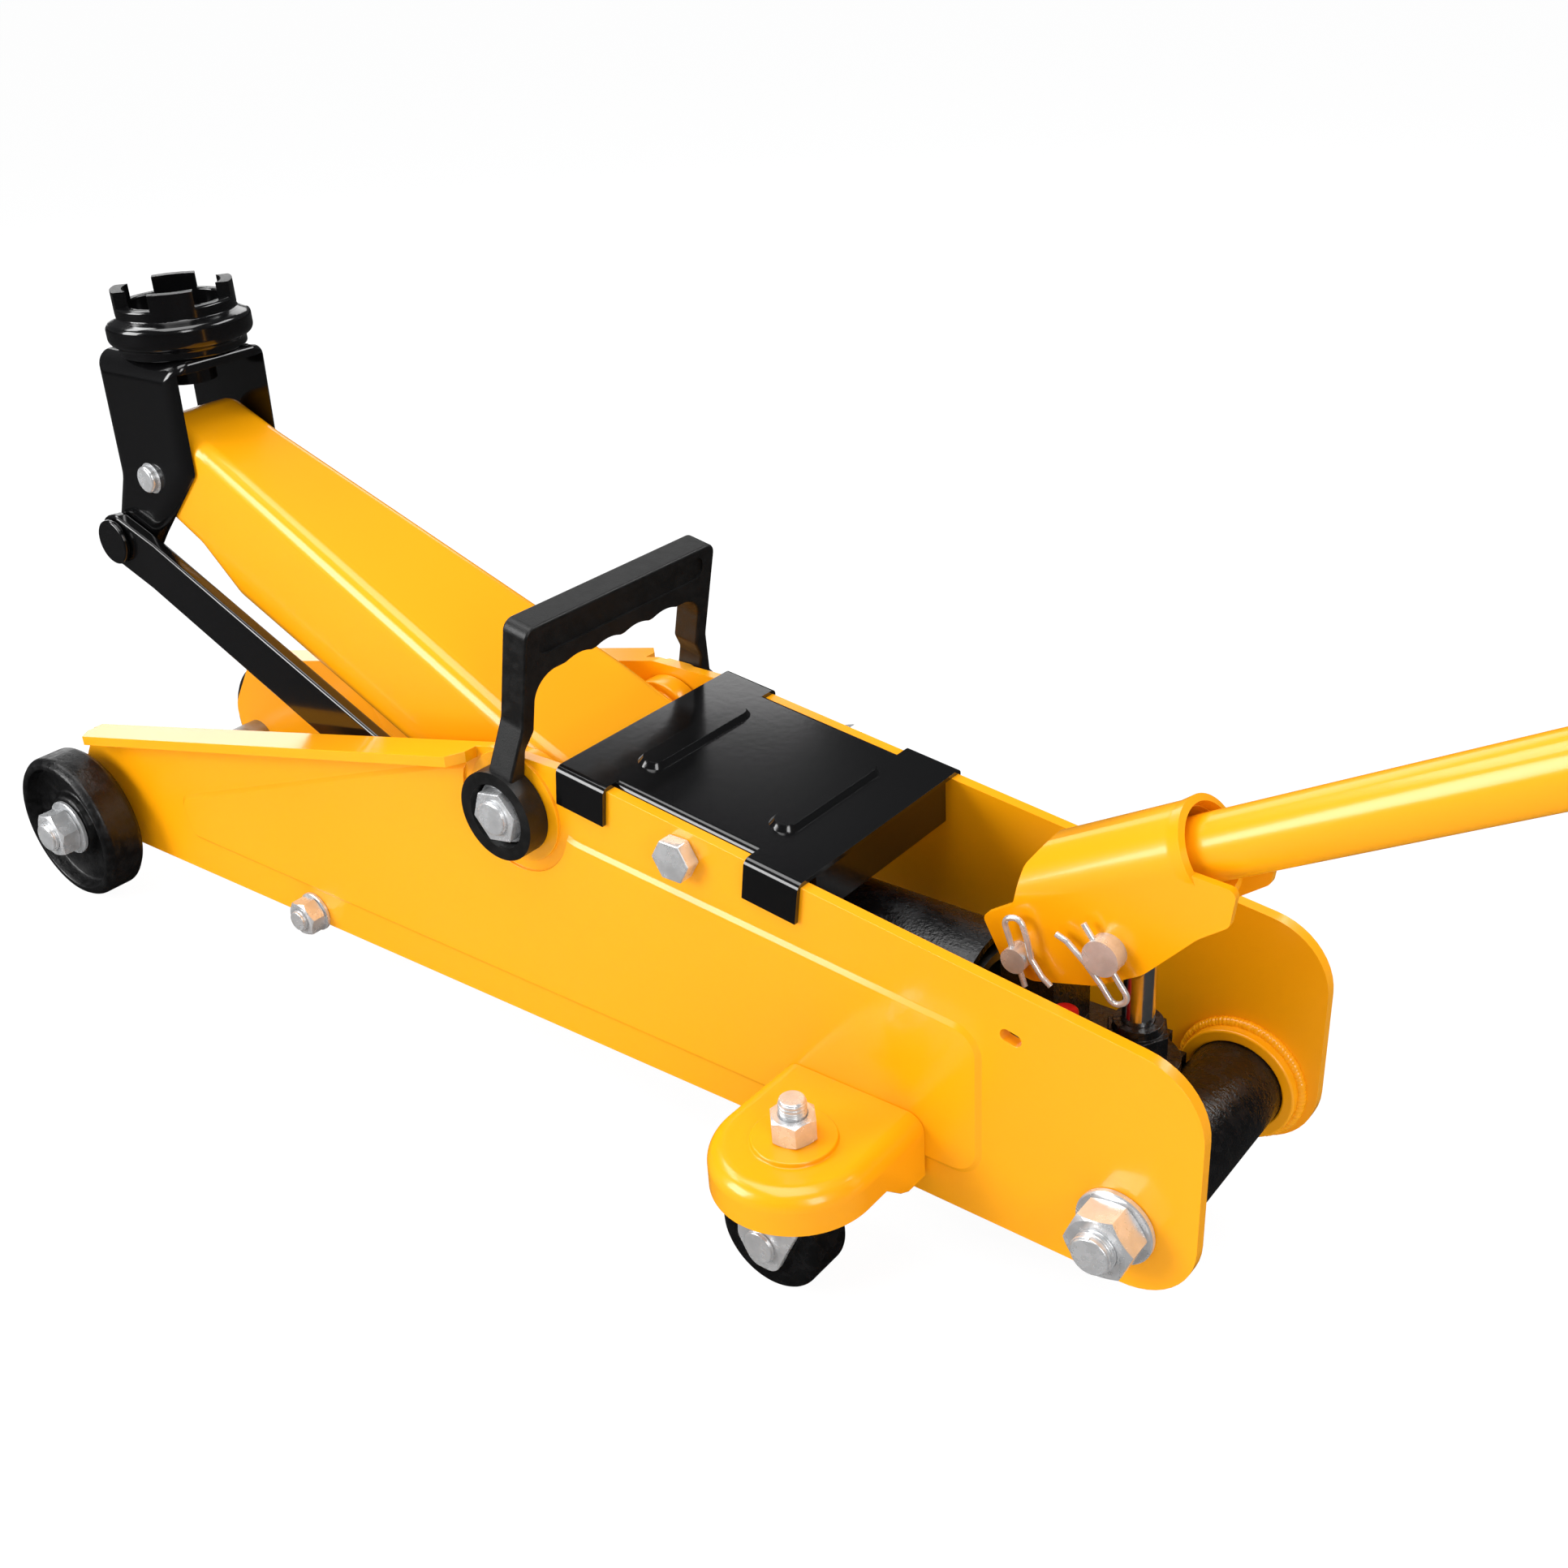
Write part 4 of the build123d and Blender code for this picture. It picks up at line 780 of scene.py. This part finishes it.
THREADED_ENDS = [
    ("rear_tie_bolt", "rear_tie_nut", "Y", -1, COARSE_M12),
    ("front_tie_bolt", "tie_nuts", "Y", -1, COARSE_M8),
    ("spring_anchor_bolt", "tie_nuts", "Y", 1, COARSE_M8),
    ("front_axle", "axle_nuts", "Y", -1, COARSE_M12),
    ("caster_studs", "caster_nuts", "Z", -1, COARSE_M8),
    ("front_axle", "axle_nuts", "Y", 1, COARSE_M12),
    ("caster_studs", "caster_nuts", "Z", 1, COARSE_M8),
]
threads = [tip_thread(*end) for end in THREADED_ENDS]
thread_mesh = joined(threads, "screw_threads")
place_piece("screw_threads", thread_mesh, [], "frame", "zinc")
print("threads", len(threads), "faces", len(thread_mesh.polygons))

# %% [markdown]
# ## Return springs
# Two springs pull the arm down. Each hangs between the anchor bolt, on the frame, and the ram pin, on the
# arm. Riding on one body it would tear off the other, so it is attached to neither and stays where it is
# built. The coil comes from the wound wire tree, and a loop round each pin closes its ends.

# %% Return springs
WIRE = 1.15 * MM
SPRING_RADIUS = 3.3 * MM
SPRING_PITCH = 2.6 * MM
SPRING_STEPS = 20
ANCHOR_LOOP = 5.3 * MM
PIN_LOOP = 7.3 * MM
LOOP_GAP = 2 * WIRE
LOOP_STEPS = 40
LOOP_SIDES = 10


def spring_loop(middle, radius):
    """A ring of spring wire round a pin that lies along Y."""
    side_a, side_b, along = ACROSS_AND_ALONG["Y"]
    turns = [2 * pi * k / LOOP_STEPS for k in range(LOOP_STEPS)]
    rings = []
    for j in range(LOOP_SIDES):
        b = 2 * pi * j / LOOP_SIDES
        r = radius + WIRE * cos(b)
        level = middle + along * (WIRE * sin(b))
        rings.append([level + side_a * (r * cos(t)) + side_b * (r * sin(t)) for t in turns])
    shell = bmesh.new()
    ring_stack(shell, rings)
    bmesh.ops.recalc_face_normals(shell, faces=shell.faces)
    return as_mesh(shell, "ring")


def middle_of(name):
    """The middle of a node's box."""
    low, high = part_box(name)
    return (low + high) / 2


def return_spring(name, y):
    """One spring across the jack at y, from the anchor bolt to the ram pin."""
    anchor, pin = middle_of("spring_anchor_bolt"), middle_of("ram_pin")
    a = Vector((anchor.x, y, anchor.z))
    b = Vector((pin.x, y, pin.z))
    line = (b - a).normalized()
    coil = coil_between(a + line * (ANCHOR_LOOP + LOOP_GAP), b - line * (PIN_LOOP + LOOP_GAP),
                        SPRING_RADIUS, SPRING_PITCH, WIRE, "grey_steel", SPRING_STEPS)
    mesh = joined([coil, spring_loop(a, ANCHOR_LOOP), spring_loop(b, PIN_LOOP)], name)
    mesh.materials.clear()
    mesh.materials.append(MATERIALS["grey_steel"])
    spring = bpy.data.objects.new(name, mesh)
    bpy.context.scene.collection.objects.link(spring)
    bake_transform(spring)
    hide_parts("return_springs")
    return spring


for side_name, side in (("right", 1), ("left", -1)):
    (solid,) = side_parts("return_springs", side)
    spring = return_spring("return_spring_" + side_name, (solid[:, 1].min() + solid[:, 1].max()) / 2)
    print(spring.name, len(spring.data.polygons), "faces")

# %% [markdown]
# ## Weld beads
# The collars round the cross tube are welded to the plates. A bead is a row of overlapping ripples, which
# a plain torus would miss. A second tree sets a ball on every point of a ring and lets each vary a little
# in size. Its seed is fixed, so every run gives the same bead.

# %% Weld beads on the rear collars
BEAD_RADIUS = 1.9 * MM
BEAD_RIPPLES = 96
BEAD_SEED = 7
BEAD_CLEAR = 0.2 * MM
BEAD_SINK = 0.6 * MM
SMALLEST_BALL = 0.94
LARGEST_BALL = 1.06
BALL_DETAIL = 2


def weld_bead_tree():
    """Balls of slightly different size round a ring in the XY plane."""
    tree, start, identifiers = open_tree("weld_bead", [
        ("Ring Radius", "NodeSocketFloat", 19 * MM), ("Ripples", "NodeSocketInt", 48),
        ("Bead Radius", "NodeSocketFloat", 1.8 * MM), ("Seed", "NodeSocketInt", BEAD_SEED),
        ("Finish", "NodeSocketMaterial", None)])
    ring = tree.nodes.new("GeometryNodeMeshCircle")
    ball = tree.nodes.new("GeometryNodeMeshIcoSphere")
    ball.inputs["Subdivisions"].default_value = BALL_DETAIL
    vary = tree.nodes.new("FunctionNodeRandomValue")
    vary.data_type = "FLOAT"
    # Sockets 0 and 1 take vectors, and 2 and 3 are the smallest and largest number.
    vary.inputs[2].default_value = SMALLEST_BALL
    vary.inputs[3].default_value = LARGEST_BALL
    put = tree.nodes.new("GeometryNodeInstanceOnPoints")
    tree.links.new(start.outputs["Ring Radius"], ring.inputs["Radius"])
    tree.links.new(start.outputs["Ripples"], ring.inputs["Vertices"])
    tree.links.new(start.outputs["Bead Radius"], ball.inputs["Radius"])
    tree.links.new(start.outputs["Seed"], vary.inputs["Seed"])
    tree.links.new(ring.outputs["Mesh"], put.inputs["Points"])
    tree.links.new(ball.outputs["Mesh"], put.inputs["Instance"])
    tree.links.new(vary.outputs[1], put.inputs["Scale"])
    close_tree(tree, start, put.outputs["Instances"])
    return tree, identifiers


WELD_BEAD = weld_bead_tree()


def collar_bead(side):
    """The bead where one collar meets its plate."""
    (collar,) = side_parts("rear_collars", side)
    low, high = Vector(collar.min(0)), Vector(collar.max(0))
    plate_y = low.y if side < 0 else high.y
    mesh = grown(WELD_BEAD, {"Ring Radius": (high.x - low.x) / 2 + BEAD_CLEAR, "Ripples": BEAD_RIPPLES,
                             "Bead Radius": BEAD_RADIUS, "Seed": BEAD_SEED,
                             "Finish": MATERIALS["yellow_paint"]})
    seat = Vector(((low.x + high.x) / 2, plate_y - side * BEAD_SINK, (low.z + high.z) / 2))
    mesh.transform(Matrix.Translation(seat) @ Matrix.Rotation(pi / 2, 4, "X"))
    return mesh


bead_mesh = joined([collar_bead(-1), collar_bead(1)], "collar_weld_beads")
place_piece("collar_weld_beads", bead_mesh, [], "frame", "yellow_paint")
print("weld beads", len(bead_mesh.polygons), "faces")
